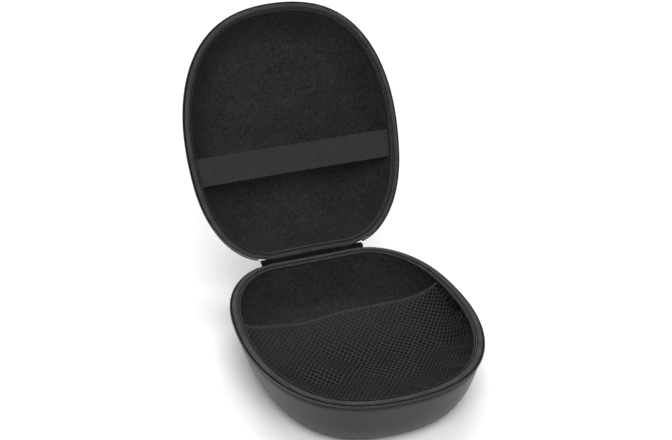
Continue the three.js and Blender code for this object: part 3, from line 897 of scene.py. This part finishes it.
def pocket_grid(nu=110, nv=56):
    """The net as a grid: u round the rim from the right end of the hem to the left, v from the rim to the hem.
    Returns u, v, the pocket edge A along the rim, the hem B and the plan position of each grid point (mm)."""
    u = np.linspace(0, 1, nu + 1)
    v = np.linspace(0, 1, nv + 1)
    L = LP0 + (LP1 - LP0) * u
    p, q = spline(s_of(L))
    A = p + q * POCKET_EDGE
    x = HEM_X * np.cos(np.pi * u)
    B = np.stack([x, hem_y(x)], 1)
    V = v[None, :, None] ** 1.2
    plan = A[:, None] * (1 - V) + B[:, None] * V
    return u, v, A, B, plan


def rim_distance(plan):
    L = np.linspace(0, LOOP, 1400, endpoint=False)
    p, q = spline(s_of(L))
    E = p + q * POCKET_EDGE
    flat = plan.reshape(-1, 2)
    out = np.empty(len(flat))
    for k in range(0, len(flat), 2000):
        d = np.linalg.norm(flat[k : k + 2000, None] - E[None], axis=-1)
        out[k : k + 2000] = d.min(1)
    return out.reshape(plan.shape[:2])


def drape(plan):
    r = rim_distance(plan)
    h = hem_y(plan[..., 0]) - plan[..., 1]
    d = 3.6 + 22.0 * (1 - np.exp(-r / 11.0)) * (1 - 0.5 * np.exp(-np.maximum(h, 0) / 26.0))
    return d, r, h


def net():
    u, v, A, B, plan = pocket_grid()
    d, r, h = drape(plan)
    x, y = plan[..., 0], plan[..., 1]
    # slack shows as long soft folds that run in from the rim and from the ends of the hem
    edge = 1 - np.exp(-r / 7.0)
    ang = np.arctan2(x, -(y - 40.0))
    folds = 1.1 * np.sin(9.0 * ang + 0.6) + 0.8 * np.sin(15.0 * ang + 2.1) + 0.5 * np.sin(23 * ang + 0.3)
    folds = folds * np.exp(-((r - 20) / 26.0) ** 2)
    lines = 1.2 * np.sin((x * 0.55 + y * 0.83) / 8.5 + 0.4) * np.exp(-((x + 45) / 40) ** 2) \
        + 1.0 * np.sin((x * 0.35 - y * 0.94) / 9.5 + 1.9) * np.exp(-((x - 30) / 45) ** 2)
    d = d + edge * (folds + lines)
    P = np.stack([x, y, -d], -1)
    # the flat cut is taken from arc lengths later, in flatten: steep parts take more net
    return u, v, plan, P


def ripples(plan):
    """The slack that a knitted net keeps as shallow folds."""
    x, y = plan[..., 0], plan[..., 1]
    r = rim_distance(plan)
    h = hem_y(x) - y
    hold = (1 - np.exp(-r / 9.0)) * (1 - np.exp(-np.maximum(h, 0) / 9.0))
    a = 1.5 * np.sin((0.80 * x + 0.60 * y) * 2 * math.pi / 47.0 + 0.9) * np.exp(-((x + 42) / 44) ** 2)
    b = 1.3 * np.sin((0.62 * x - 0.78 * y) * 2 * math.pi / 41.0 + 2.3) * np.exp(-((x - 34) / 50) ** 2)
    c = 0.7 * np.sin((0.25 * x + 0.97 * y) * 2 * math.pi / 33.0 + 0.2)
    e = 0.8 * wobble(x, y, 77, 46.0)
    return hold * (a + b + c + e)


def flatten(P, rounds=1600):
    """The flat cut for a hanging shape: the plane figure whose threads are nearest to the lengths they have on it."""
    seg = np.linalg.norm(np.diff(P, axis=1), axis=-1)
    plan = np.linalg.norm(np.diff(P[..., :2], axis=1), axis=-1)
    ratio = np.where(plan > 1e-6, seg / np.maximum(plan, 1e-6), 1)
    F = P[..., :2].copy()
    for j in range(P.shape[1] - 2, -1, -1):
        F[:, j] = F[:, j + 1] + (P[:, j, :2] - P[:, j + 1, :2]) * ratio[:, j][:, None]
    a = lambda A: A[:-1]
    b = lambda A: A[1:]
    sets = [
        (lambda A: A[:-1, :], lambda A: A[1:, :]),
        (lambda A: A[:, :-1], lambda A: A[:, 1:]),
        (lambda A: A[:-1, :-1], lambda A: A[1:, 1:]),
        (lambda A: A[1:, :-1], lambda A: A[:-1, 1:]),
    ]
    want = [np.linalg.norm(q(P) - p(P), axis=-1) for p, q in sets]
    count = np.zeros(F.shape[:2])
    for p, q in sets:
        p(count)[...] += 1
        q(count)[...] += 1
    V = np.zeros_like(F)
    for _ in range(rounds):
        G = np.zeros_like(F)
        for (p, q), w in zip(sets, want):
            e = q(F) - p(F)
            l = np.linalg.norm(e, axis=-1, keepdims=True)
            c = e * (0.5 * (1 - w[..., None] / np.maximum(l, 1e-6)))
            p(G)[...] += c
            q(G)[...] -= c
        V = 0.9 * V + G / count[..., None]
        F = F + V * 0.8
    mid = F[:, -1]
    d = mid[0] - mid[-1]
    ang = math.atan2(d[1], d[0])
    c_, s_ = math.cos(-ang), math.sin(-ang)
    F = F @ np.array([[c_, s_], [-s_, c_]])
    return F


def hex_net(F, P, name, width=1.12, high=0.33):
    """Knitted net of six-sided cells, laid out on the flat cut F and carried to P."""
    nu, nv = F.shape[0] - 1, F.shape[1] - 1
    idx = np.arange((nu + 1) * (nv + 1)).reshape(nu + 1, nv + 1)
    faces = []
    for i in range(nu):
        for j in range(nv):
            a, b, c, e = idx[i, j], idx[i, j + 1], idx[i + 1, j + 1], idx[i + 1, j]
            faces += [(int(a), int(b), int(c)), (int(a), int(c), int(e))]
    flat = np.concatenate([F.reshape(-1, 2), np.zeros((F.shape[0] * F.shape[1], 1))], 1)
    hang = P.reshape(-1, 3)
    # normals of the hanging surface at its grid points
    gu = np.gradient(P, axis=0)
    gv = np.gradient(P, axis=1)
    nrm = np.cross(gu, gv)
    nrm /= np.maximum(np.linalg.norm(nrm, axis=-1, keepdims=True), 1e-9)
    nrm[nrm[..., 2] < 0] *= -1
    nrm = nrm.reshape(-1, 3)
    tree = BVHTree.FromPolygons([tuple(p) for p in flat], faces)
    fa = np.array(faces)

    def carry(pts):
        out = np.empty((len(pts), 3))
        nn = np.empty((len(pts), 3))
        off = np.empty(len(pts))
        for k, (px, py) in enumerate(pts):
            loc, _, fi, dist = tree.find_nearest((px, py, 0.0))
            a, b, c = fa[fi]
            A, B, C = flat[a, :2], flat[b, :2], flat[c, :2]
            q = np.array(loc[:2])
            m = (B[0] - A[0]) * (C[1] - A[1]) - (C[0] - A[0]) * (B[1] - A[1])
            if abs(m) < 1e-12:
                w = np.array([1.0, 0, 0])
            else:
                wb = ((q[0] - A[0]) * (C[1] - A[1]) - (C[0] - A[0]) * (q[1] - A[1])) / m
                wc = ((B[0] - A[0]) * (q[1] - A[1]) - (q[0] - A[0]) * (B[1] - A[1])) / m
                w = np.array([1 - wb - wc, wb, wc])
            out[k] = w[0] * hang[a] + w[1] * hang[b] + w[2] * hang[c]
            nn[k] = w[0] * nrm[a] + w[1] * nrm[b] + w[2] * nrm[c]
            off[k] = dist
        nn /= np.maximum(np.linalg.norm(nn, axis=1, keepdims=True), 1e-9)
        return out, nn, off

    # each cell has four long sloping sides and two short upright ones where it meets its neighbours
    P_, Q_, e_ = NET_WIDE, NET_HIGH, 0.95
    lo, hi = flat[:, :2].min(0), flat[:, :2].max(0)
    cor = np.array([(P_ / 2, -e_ / 2), (P_ / 2, e_ / 2), (0, Q_ - e_ / 2), (-P_ / 2, e_ / 2), (-P_ / 2, -e_ / 2), (0, -(Q_ - e_ / 2))])
    ring = []
    for k in range(6):
        a, b = cor[k], cor[(k + 1) % 6]
        cuts = (0.0,) if k in (0, 3) else (0.0, 0.5)
        ring += [a + (b - a) * t for t in cuts]
    ring = np.array(ring)
    RN = len(ring)
    # the hole is the cell drawn in by half a thread, with rounded corners
    ha, hb = P_ / 2 - width * 0.82, Q_ - e_ / 2 - width * 0.80
    th = np.arctan2(ring[:, 1] / Q_, ring[:, 0] / (P_ / 2))
    hole = np.column_stack([ha * np.sign(np.cos(th)) * np.abs(np.cos(th)) ** 1.25, hb * np.sign(np.sin(th)) * np.abs(np.sin(th)) ** 1.25])
    halfway = ring * 0.42 + hole * 0.58
    cells = []
    rows = int((hi[1] - lo[1]) / Q_) + 3
    cols = int((hi[0] - lo[0]) / P_) + 3
    for rI in range(rows):
        for cI in range(cols):
            c = np.array([lo[0] + (cI + 0.5 * (rI % 2)) * P_, hi[1] - 0.9 - rI * Q_])
            cells.append(c)
    cells = np.array(cells)
    keep = []
    for c in cells:
        _, _, _, dist = tree.find_nearest((c[0], c[1], 0.0), 6.0)
        keep.append(dist is not None and dist < 0.25)
    cells = cells[np.array(keep)]
    outer = {}
    outer_pts, cell_idx = [], []
    for c in cells:
        ids = []
        for k in range(RN):
            q = c + ring[k]
            key = (round(q[0] * 50), round(q[1] * 50))
            if key not in outer:
                outer[key] = len(outer_pts)
                outer_pts.append(q)
            ids.append(outer[key])
        cell_idx.append(ids)
    outer_pts = np.array(outer_pts)
    mid_pts = (cells[:, None] + halfway[None]).reshape(-1, 2)
    hole_pts = (cells[:, None] + hole[None]).reshape(-1, 2)
    Po, No, _ = carry(outer_pts)
    Pm, Nm, _ = carry(mid_pts)
    Ph, Nh, _ = carry(hole_pts)
    no, nm = len(outer_pts), len(mid_pts)
    t0 = high * (1 + 0.10 * np.sin(outer_pts[:, 0] * 1.9) * np.sin(outer_pts[:, 1] * 2.3))[:, None]
    t1 = high * 0.80
    verts = np.vstack([Po + No * t0, Po - No * t0, Pm + Nm * t1, Pm - Nm * t1, Ph])
    o1, m0, m1, h0 = no, 2 * no, 2 * no + nm, 2 * no + 2 * nm
    quads = []
    for ci, ids in enumerate(cell_idx):
        for k in range(RN):
            a, b = ids[k], ids[(k + 1) % RN]
            x, y = ci * RN + k, ci * RN + (k + 1) % RN
            quads.append((a, b, m0 + y, m0 + x))
            quads.append((m0 + x, m0 + y, h0 + y, h0 + x))
            quads.append((o1 + b, o1 + a, m1 + x, m1 + y))
            quads.append((m1 + y, m1 + x, h0 + x, h0 + y))
    edges = set()
    for ids in cell_idx:
        for k in range(RN):
            edges.add((ids[k], ids[(k + 1) % RN]))
    rimq = [(b, a, o1 + a, o1 + b) for (a, b) in sorted(edges) if (b, a) not in edges]
    quads = np.vstack([np.array(quads), np.array(rimq)])
    return verts, quads, len(cells)


def simulate(F, P):
    """Hangs the flat cut from the rim as cloth, and returns where it comes to rest."""
    nu, nv = F.shape[0] - 1, F.shape[1] - 1
    idx = np.arange((nu + 1) * (nv + 1)).reshape(nu + 1, nv + 1)
    faces = [(int(idx[i, j]), int(idx[i, j + 1]), int(idx[i + 1, j + 1]), int(idx[i + 1, j])) for i in range(nu) for j in range(nv)]
    S = 0.01  # the cloth is worked at ten times its size, where the solver behaves
    me = bpy.data.meshes.new("net_cloth")
    rest = np.concatenate([F, np.zeros(F.shape[:2] + (1,))], -1).reshape(-1, 3) * S
    start = P.reshape(-1, 3) * S
    me.from_pydata(start.tolist(), [], faces)
    me.update()
    ob = bpy.data.objects.new("net_cloth", me)
    bpy.context.scene.collection.objects.link(ob)
    ob.shape_key_add(name="Basis")
    key = ob.shape_key_add(name="cut")
    key.data.foreach_set("co", rest.ravel())
    key.value = 0.0
    g = ob.vertex_groups.new(name="pin")
    pins = [int(k) for k in idx[:, 0]] + [int(k) for k in idx[:, -1]] + [int(k) for k in idx[0, :]] + [int(k) for k in idx[-1, :]]
    g.add(sorted(set(pins)), 1.0, "REPLACE")
    cl = ob.modifiers.new("cloth", "CLOTH")
    st = cl.settings
    st.quality = 8
    st.mass = 0.25
    st.tension_stiffness = 18
    st.compression_stiffness = 14
    st.shear_stiffness = 4
    st.bending_stiffness = 0.6
    st.air_damping = 2.0
    st.vertex_group_mass = "pin"
    st.rest_shape_key = key
    st.use_dynamic_mesh = False
    cl.collision_settings.use_collision = False
    cl.collision_settings.use_self_collision = False
    sc = bpy.context.scene
    frames = 45
    cl.point_cache.frame_start, cl.point_cache.frame_end = 1, frames
    was = sc.frame_current
    for f in range(1, frames + 1):
        sc.frame_set(f)
    dg = bpy.context.evaluated_depsgraph_get()
    ev = ob.evaluated_get(dg)
    em = ev.to_mesh()
    co = np.empty(len(em.vertices) * 3)
    em.vertices.foreach_get("co", co)
    ev.to_mesh_clear()
    sc.frame_set(was)
    bpy.data.objects.remove(ob, do_unlink=True)
    bpy.data.meshes.remove(me)
    return co.reshape(P.shape) / S


def build_pocket():
    u, v, plan, P = net()
    F = flatten(P)
    Q = simulate(F, P)
    if np.isfinite(Q).all() and np.abs(Q - P).max() < 25:
        P = Q
    P = P + np.stack([np.zeros(P.shape[:2]), np.zeros(P.shape[:2]), ripples(plan)], -1)
    verts, quads, n = hex_net(F, P, "net")
    verts[:, 2] += BASE_H
    if signed_volume(verts, quads) < 0:
        quads = quads[:, ::-1]
    ob = new_mesh("net_pocket_mesh", verts, quads)
    piece(ob, M_NET, "base", "net", "mesh_pocket")
    # the bound hem, folded over the net's free edge
    H = P[:, -1].copy()
    inner = P[:, -2]
    keep = np.abs(H[:, 0]) < 86.4
    x = np.linspace(86.8, -86.8, 150)
    order = np.argsort(H[:, 0])
    hy = np.interp(x, H[order, 0], H[order, 1])
    hz = np.interp(x, H[order, 0], H[order, 2])
    slope = (H[:, 2] - inner[:, 2]) / np.maximum(H[:, 1] - inner[:, 1], 0.3)
    sl = np.interp(x, H[order, 0], np.clip(slope, -1, 1)[order])
    k = np.ones(9) / 9
    sl = np.convolve(np.pad(sl, 4, mode="edge"), k, mode="valid")
    sec = chaikin([(-1.3, -0.40), (-1.35, 0.40), (-0.5, 0.46), (0.4, 0.58), (0.95, 0.5), (1.15, 0.0), (0.95, -0.5), (0.4, -0.58), (-0.5, -0.46)], 1)
    ripple = 0.10 * np.sin(x / 1.6) + 0.08 * np.sin(x / 3.7 + 1)
    Y = hy[:, None] + sec[None, :, 0] * 1.0
    Z = hz[:, None] + sec[None, :, 1] + sl[:, None] * sec[None, :, 0] + ripple[:, None] * 0.6
    X = np.broadcast_to(x[:, None], Y.shape)
    HP = np.stack([X, Y, Z + BASE_H], -1)
    hem = grid("net_pocket_hem_tape", HP)
    piece(hem, M_HEM, "base", "binding", "mesh_pocket_hem")


build_pocket()


# ---------------------------------------------------------------- hinge straps
def folded(half):
    b = np.array([-math.cos(OPEN / 2), math.sin(OPEN / 2)])
    half = np.array(half, float)
    k = 2 * (half @ b)
    other = (k[:, None] * b - half)[::-1]
    return np.vstack([half, other])


def strap(name, half, t, w, mat, node, round_end=2.0):
    path = chaikin(folded(half), 3, closed=False)
    tan = np.gradient(path, axis=0)
    tan /= np.linalg.norm(tan, axis=1, keepdims=True)
    nm = np.stack([-tan[:, 1], tan[:, 0]], 1)
    n = 90
    x = np.linspace(-w, w, n)
    rows = []
    for xi in x:
        e = min(1.0, (w - abs(xi)) / round_end + 0.35)
        q = np.vstack([path + nm * t / 2 * e, (path - nm * t / 2 * e)[::-1]])
        rows.append(np.stack([np.full(len(q), xi), HINGE_Y + q[:, 0], BASE_H + q[:, 1]], 1))
    ob = grid(name, np.array(rows), U=x - x[0])
    ob.data.materials.append(mat)
    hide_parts(node)
    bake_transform(ob)
    return ob


strap("hinge_strip_inner_cloth", [[-1.75, -4.2], [-1.72, -2.2], [-1.5, -0.9], [-0.95, 0.1]], 0.5, 47.6, M_STRIP, "hinge_strip_inner")
strap("hinge_strip_outer_skin", [[-2.35, -9.5], [-2.3, -7.4], [-1.0, -5.7], [-0.5, -4.4], [-0.42, -2.0], [-0.22, 0.05]], 0.6, 27.4, M_COVER, "hinge_strip_outer")


# ---------------------------------------------------- zipper ends and sliders
HALF_ROT = Matrix.Translation(Vector((0, HINGE_Y, BASE_H)) * 0.001) @ Matrix.Rotation(-OPEN / 2, 4, "X")


def to_row(P):
    """From the zipper end's own frame (x, outward, across; mm) to the row frame (mm)."""
    P = np.asarray(P, float)
    c, s = math.cos(OPEN / 2), math.sin(OPEN / 2)
    y, z = P[..., 1], P[..., 2]
    return np.stack([P[..., 0], HINGE_Y + c * y + s * z, BASE_H - s * y + c * z], -1)


OUT = 1.2


def rounded_box(x0, x1, y0, y1, z0, z1, r, seg=3):
    """A box with rounded edges, as rows along x."""
    a = []
    for cx_, cz_, base in ((y1 - r, z1 - r, 0), (y0 + r, z1 - r, 1), (y0 + r, z0 + r, 2), (y1 - r, z0 + r, 3)):
        for k in range(seg + 1):
            t = (base + k / seg) * math.pi / 2
            a.append((cx_ + r * math.cos(t), cz_ + r * math.sin(t)))
    a = np.array(a)
    c = np.array([(y0 + y1) / 2, (z0 + z1) / 2])
    out = []
    xs = [x0 + r * (1 - math.sin(k / seg * math.pi / 2)) for k in range(seg, -1, -1)]
    ins = [r * (1 - math.cos(k / seg * math.pi / 2)) for k in range(seg, -1, -1)]
    half = np.array([(y1 - y0) / 2, (z1 - z0) / 2])
    sections = [(x, i) for x, i in zip(xs, ins)]
    sections += [(x1 - (x - x0), i) for x, i in reversed(sections)]
    for x, i in sections:
        q = c + (a - c) * ((half - i) / half)
        out.append(np.column_stack([np.full(len(q), x), q]))
    return np.array(out)


def box_piece(name, *dims, r=0.25):
    return grid(name, to_row(rounded_box(*dims, r=r)))


def sweep(name, path, w, h, r=0.25, up=(0, 0, 1), closed=False):
    """A rounded bar along a path of points in the zipper end's own frame."""
    P = np.asarray(path, float)
    T = np.roll(P, -1, 0) - np.roll(P, 1, 0) if closed else np.gradient(P, axis=0)
    T /= np.linalg.norm(T, axis=1, keepdims=True)
    up = np.broadcast_to(np.asarray(up, float), P.shape)
    B = np.cross(T, up)
    B /= np.linalg.norm(B, axis=1, keepdims=True)
    A = np.cross(B, T)
    a = []
    for cx_, cy_, base in ((w / 2 - r, h / 2 - r, 0), (-w / 2 + r, h / 2 - r, 1), (-w / 2 + r, -h / 2 + r, 2), (w / 2 - r, -h / 2 + r, 3)):
        for k in range(3):
            t = (base + k / 2) * math.pi / 2
            a.append((cx_ + r * math.cos(t), cy_ + r * math.sin(t)))
    a = np.array(a)
    S = P[:, None] + a[None, :, 0:1] * A[:, None] + a[None, :, 1:2] * B[:, None]
    return grid(name, to_row(S), wr=closed)


def zipper_end(side, sg):
    X = (lambda a, b: (a, b)) if sg > 0 else (lambda a, b: (-b, -a))
    body, sl, pl = f"zipper_end_{side}", f"slider_{side}", f"pull_{side}"
    # two coils closed into each other
    parts = []
    x0, x1 = X(29.3, 48.1)
    turns = int((x1 - x0 - 0.6) / COIL_PITCH)
    for up_ in (1, -1):
        u = np.arange(turns * 14 + 1) / 14
        cx, sy = superellipse(2 * np.pi * u + (0 if up_ > 0 else math.pi))
        xx = x0 + 0.5 + u * COIL_PITCH + (0 if up_ > 0 else COIL_PITCH / 2)
        yy = OUT - 0.35 + 0.52 * cx
        zz = up_ * (0.52 + 0.72 * sy)
        path = to_row(np.column_stack([xx, yy, zz]))
        cen = to_row(np.column_stack([xx, np.full_like(xx, OUT - 0.35), np.full_like(xx, up_ * 0.52)]))
        parts.append(tube(f"zip_{side}_{up_}", path, 0.24, 6, up=path - cen, U=u + (0.5 if up_ > 0 else 0.0)))
    ob = join(f"zipper_end_{side}_coils", parts)
    piece(ob, M_COIL, body, "zipper_coil", f"zipper_end_{side}")
    s0, s1 = X(27.9, 28.9)
    stop = box_piece(f"zipper_stop_{side}_clip", s0, s1, OUT - 1.2, OUT + 1.4, -2.0, 2.0, r=0.35)
    piece(stop, M_ENAMEL, body, "zipper_metal", f"zipper_stop_{side}")
    # the slider: an arched plate, two flanges and the crown that holds the pull
    a0, a1 = X(29.5, 38.5)
    cx = (a0 + a1) / 2
    y0 = OUT + 0.8
    y1 = y0 + 1.0
    n = 28
    xs = np.linspace(a0, a1, n)
    f = (xs - a0) / (a1 - a0) if sg > 0 else (a1 - xs) / (a1 - a0)
    half = 2.35 + 0.85 * np.clip(f * 1.35, 0, 1) ** 0.8 * (1 - 0.10 * np.clip((f - 0.9) / 0.1, 0, 1))
    rows = []
    for x, hh, ff in zip(xs, half, f):
        e = min(ff, 1 - ff)
        rnd = 1 - 0.5 * max(0, 1 - e / 0.05) ** 2
        prof = [(-hh, y0 - 0.0), (-hh, y1 - 0.35), (-hh + 0.35, y1 - 0.05), (-hh * 0.4, y1 + 0.0), (0, y1), (hh * 0.4, y1), (hh - 0.35, y1 - 0.05), (hh, y1 - 0.35), (hh, y0),
                (2.5, OUT - 0.55), (2.3, OUT - 0.8), (1.95, OUT - 0.75), (1.8, OUT - 0.4), (1.8, y0 - 0.15), (1.6, y0 + 0.05), (0, y0 + 0.08), (-1.6, y0 + 0.05), (-1.8, y0 - 0.15),
                (-1.8, OUT - 0.4), (-1.95, OUT - 0.75), (-2.3, OUT - 0.8), (-2.5, OUT - 0.55)]
        q = np.array(prof)
        c = np.array([0, (y0 + y1) / 2])
        q = c + (q - c) * np.array([rnd if rnd < 1 else 1, 1])
        rows.append(np.column_stack([np.full(len(q), x), q[:, 1], q[:, 0]]))
    bodyo = grid(f"slider_{side}_plate", to_row(np.array(rows)))
    t = np.linspace(0, math.pi, 22)
    arch = np.column_stack([cx - 2.62 * np.cos(t), y1 - 0.15 + 2.75 * np.sin(t) ** 0.8, np.zeros_like(t)])
    crown = sweep(f"slider_{side}_crown", arch, 1.6, 1.05, r=0.3)
    so = join(f"slider_{side}_body", [bodyo, crown])
    piece(so, M_ENAMEL, sl, "zipper_metal", f"slider_{side}")
    # the pull tab, with its window and a raised border
    r0 = y1 + 1.0
    outer = chaikin([(-0.65, -2.3), (5.2, -2.3), (7.6, -3.4), (26.0, -3.4), (27.5, -2.4), (27.5, 2.4), (26.0, 3.4), (7.6, 3.4), (5.2, 2.3), (-0.65, 2.3)], 2)
    inner = chaikin([(0.6, -1.3), (4.3, -1.3), (4.3, 1.3), (0.6, 1.3)], 2)
    # resample both loops to the same count, starting at the same angle
    def resample(loop, n, centre):
        d = np.linalg.norm(np.diff(loop, axis=0, append=loop[:1]), axis=1)
        cum = np.concatenate([[0], np.cumsum(d)])
        full = np.vstack([loop, loop[:1]])
        tt = np.linspace(0, cum[-1], 720, endpoint=False)
        dense = np.column_stack([np.interp(tt, cum, full[:, k]) for k in range(2)])
        k0 = np.argmin(np.where(dense[:, 0] < centre[0], np.abs(dense[:, 1] - centre[1]), 1e9))
        dense = np.roll(dense, -k0, 0)
        if ((dense[1] - dense[0])[1]) < 0:
            dense = np.roll(dense[::-1], 1, 0)
        return dense[:: 720 // n]
    m = 72
    O, I = resample(outer, m, (2.4, 0)), resample(inner, m, (2.4, 0))
    cen = np.array([13.5, 0.0])
    def inset(loop, k):
        d = np.roll(loop, -1, 0) - np.roll(loop, 1, 0)
        d /= np.linalg.norm(d, axis=1, keepdims=True)
        nn = np.column_stack([d[:, 1], -d[:, 0]])
        return loop + nn * k
    sgn = 1 if np.cross(np.append(O[1] - O[0], 0), np.append(O[10] - O[0], 0))[2] > 0 else -1
    th = 0.6
    rings = [(O, 0.0, 0.40), (O, -0.25, 0.60), (O, -0.75, 0.60), (O, -1.0, 0.42), (I, 0.45, 0.42), (I, 0.3, 0.58), (I, 0.08, 0.55), (I, 0.0, 0.35),
             (I, 0.0, -0.35), (I, 0.08, -0.55), (I, 0.3, -0.58), (I, 0.45, -0.42), (O, -1.0, -0.42), (O, -0.75, -0.60), (O, -0.25, -0.60), (O, 0.0, -0.40)]
    P = []
    for loop, k, x in rings:
        q = inset(loop, k * sgn)
        P.append(np.column_stack([np.full(m, cx + x), r0 + q[:, 0], q[:, 1]]))
    P = np.array(P).transpose(1, 0, 2)
    pull = grid(f"pull_{side}_tab", to_row(P), wr=True, wc=True)
    piece(pull, M_ENAMEL, pl, "zipper_metal", f"pull_{side}")


for side, sg in (("right", 1), ("left", -1)):
    zipper_end(side, sg)


# ------------------------------------------------------------- stage and light
def stage():
    me = bpy.data.meshes.new("floor")
    s = 6.0
    me.from_pydata([(-s, -s, 0), (s, -s, 0), (s, s, 0), (-s, s, 0)], [], [(0, 1, 2, 3)])
    ob = bpy.data.objects.new("floor", me)
    bpy.context.scene.collection.objects.link(ob)
    m, nt, b = node_material("floor_paper")
    c = coords(nt, uv=False)
    n1 = noise(nt, c, 0.05, 2.0)
    col = ramp(nt, n1, [(0.0, (0.90, 0.90, 0.90)), (1.0, (0.93, 0.93, 0.93))])
    nt.links.new(col, b.inputs["Base Color"])
    b.inputs["Roughness"].default_value = 0.9
    b.inputs["Specular IOR Level"].default_value = 0.2
    me.materials.append(m)
    ob.location.z = -0.0002

    w = bpy.data.worlds.new("studio")
    bpy.context.scene.world = w
    w.use_nodes = True
    bg = w.node_tree.nodes["Background"]
    bg.inputs[0].default_value = (1, 1, 1, 1)
    bg.inputs[1].default_value = 0.38

    def area(name, loc, target, size, power, shape="SQUARE", size_y=None):
        l = bpy.data.lights.new(name, "AREA")
        l.energy = power
        l.shape = "RECTANGLE" if size_y else shape
        l.size = size
        if size_y:
            l.size_y = size_y
        o = bpy.data.objects.new(name, l)
        bpy.context.scene.collection.objects.link(o)
        o.location = loc
        o.rotation_euler = (Vector(target) - Vector(loc)).to_track_quat("-Z", "Y").to_euler()
        return o

    area("key", (-0.35, -1.25, 1.75), (0, 0.1, 0.08), 1.3, 34)
    area("top", (0.25, 0.9, 2.1), (0, 0.25, 0.0), 1.8, 32)
    area("side", (1.5, 0.1, 0.9), (0, 0.1, 0.1), 1.0, 4)
    bpy.context.scene.view_settings.view_transform = "Standard"


stage()

# ---------------------------------------------------------------------- camera
cam = bpy.data.cameras.new("camera")
cam.sensor_fit = "HORIZONTAL"
cam.sensor_width = 36.0
cam.lens = 1269.64 * 36.0 / 672.0
cam.clip_start, cam.clip_end = 0.01, 50
co = bpy.data.objects.new("camera", cam)
bpy.context.scene.collection.objects.link(co)
R = Matrix(((0.938875, 0.170297, -0.299188), (-0.344257, 0.461697, -0.817510), (-0.001085, 0.870537, 0.492102)))
co.matrix_world = Matrix.Translation((-0.31221, -0.80238, 0.58031 + BASE_H / 1000)) @ R.to_4x4()
bpy.context.scene.camera = co
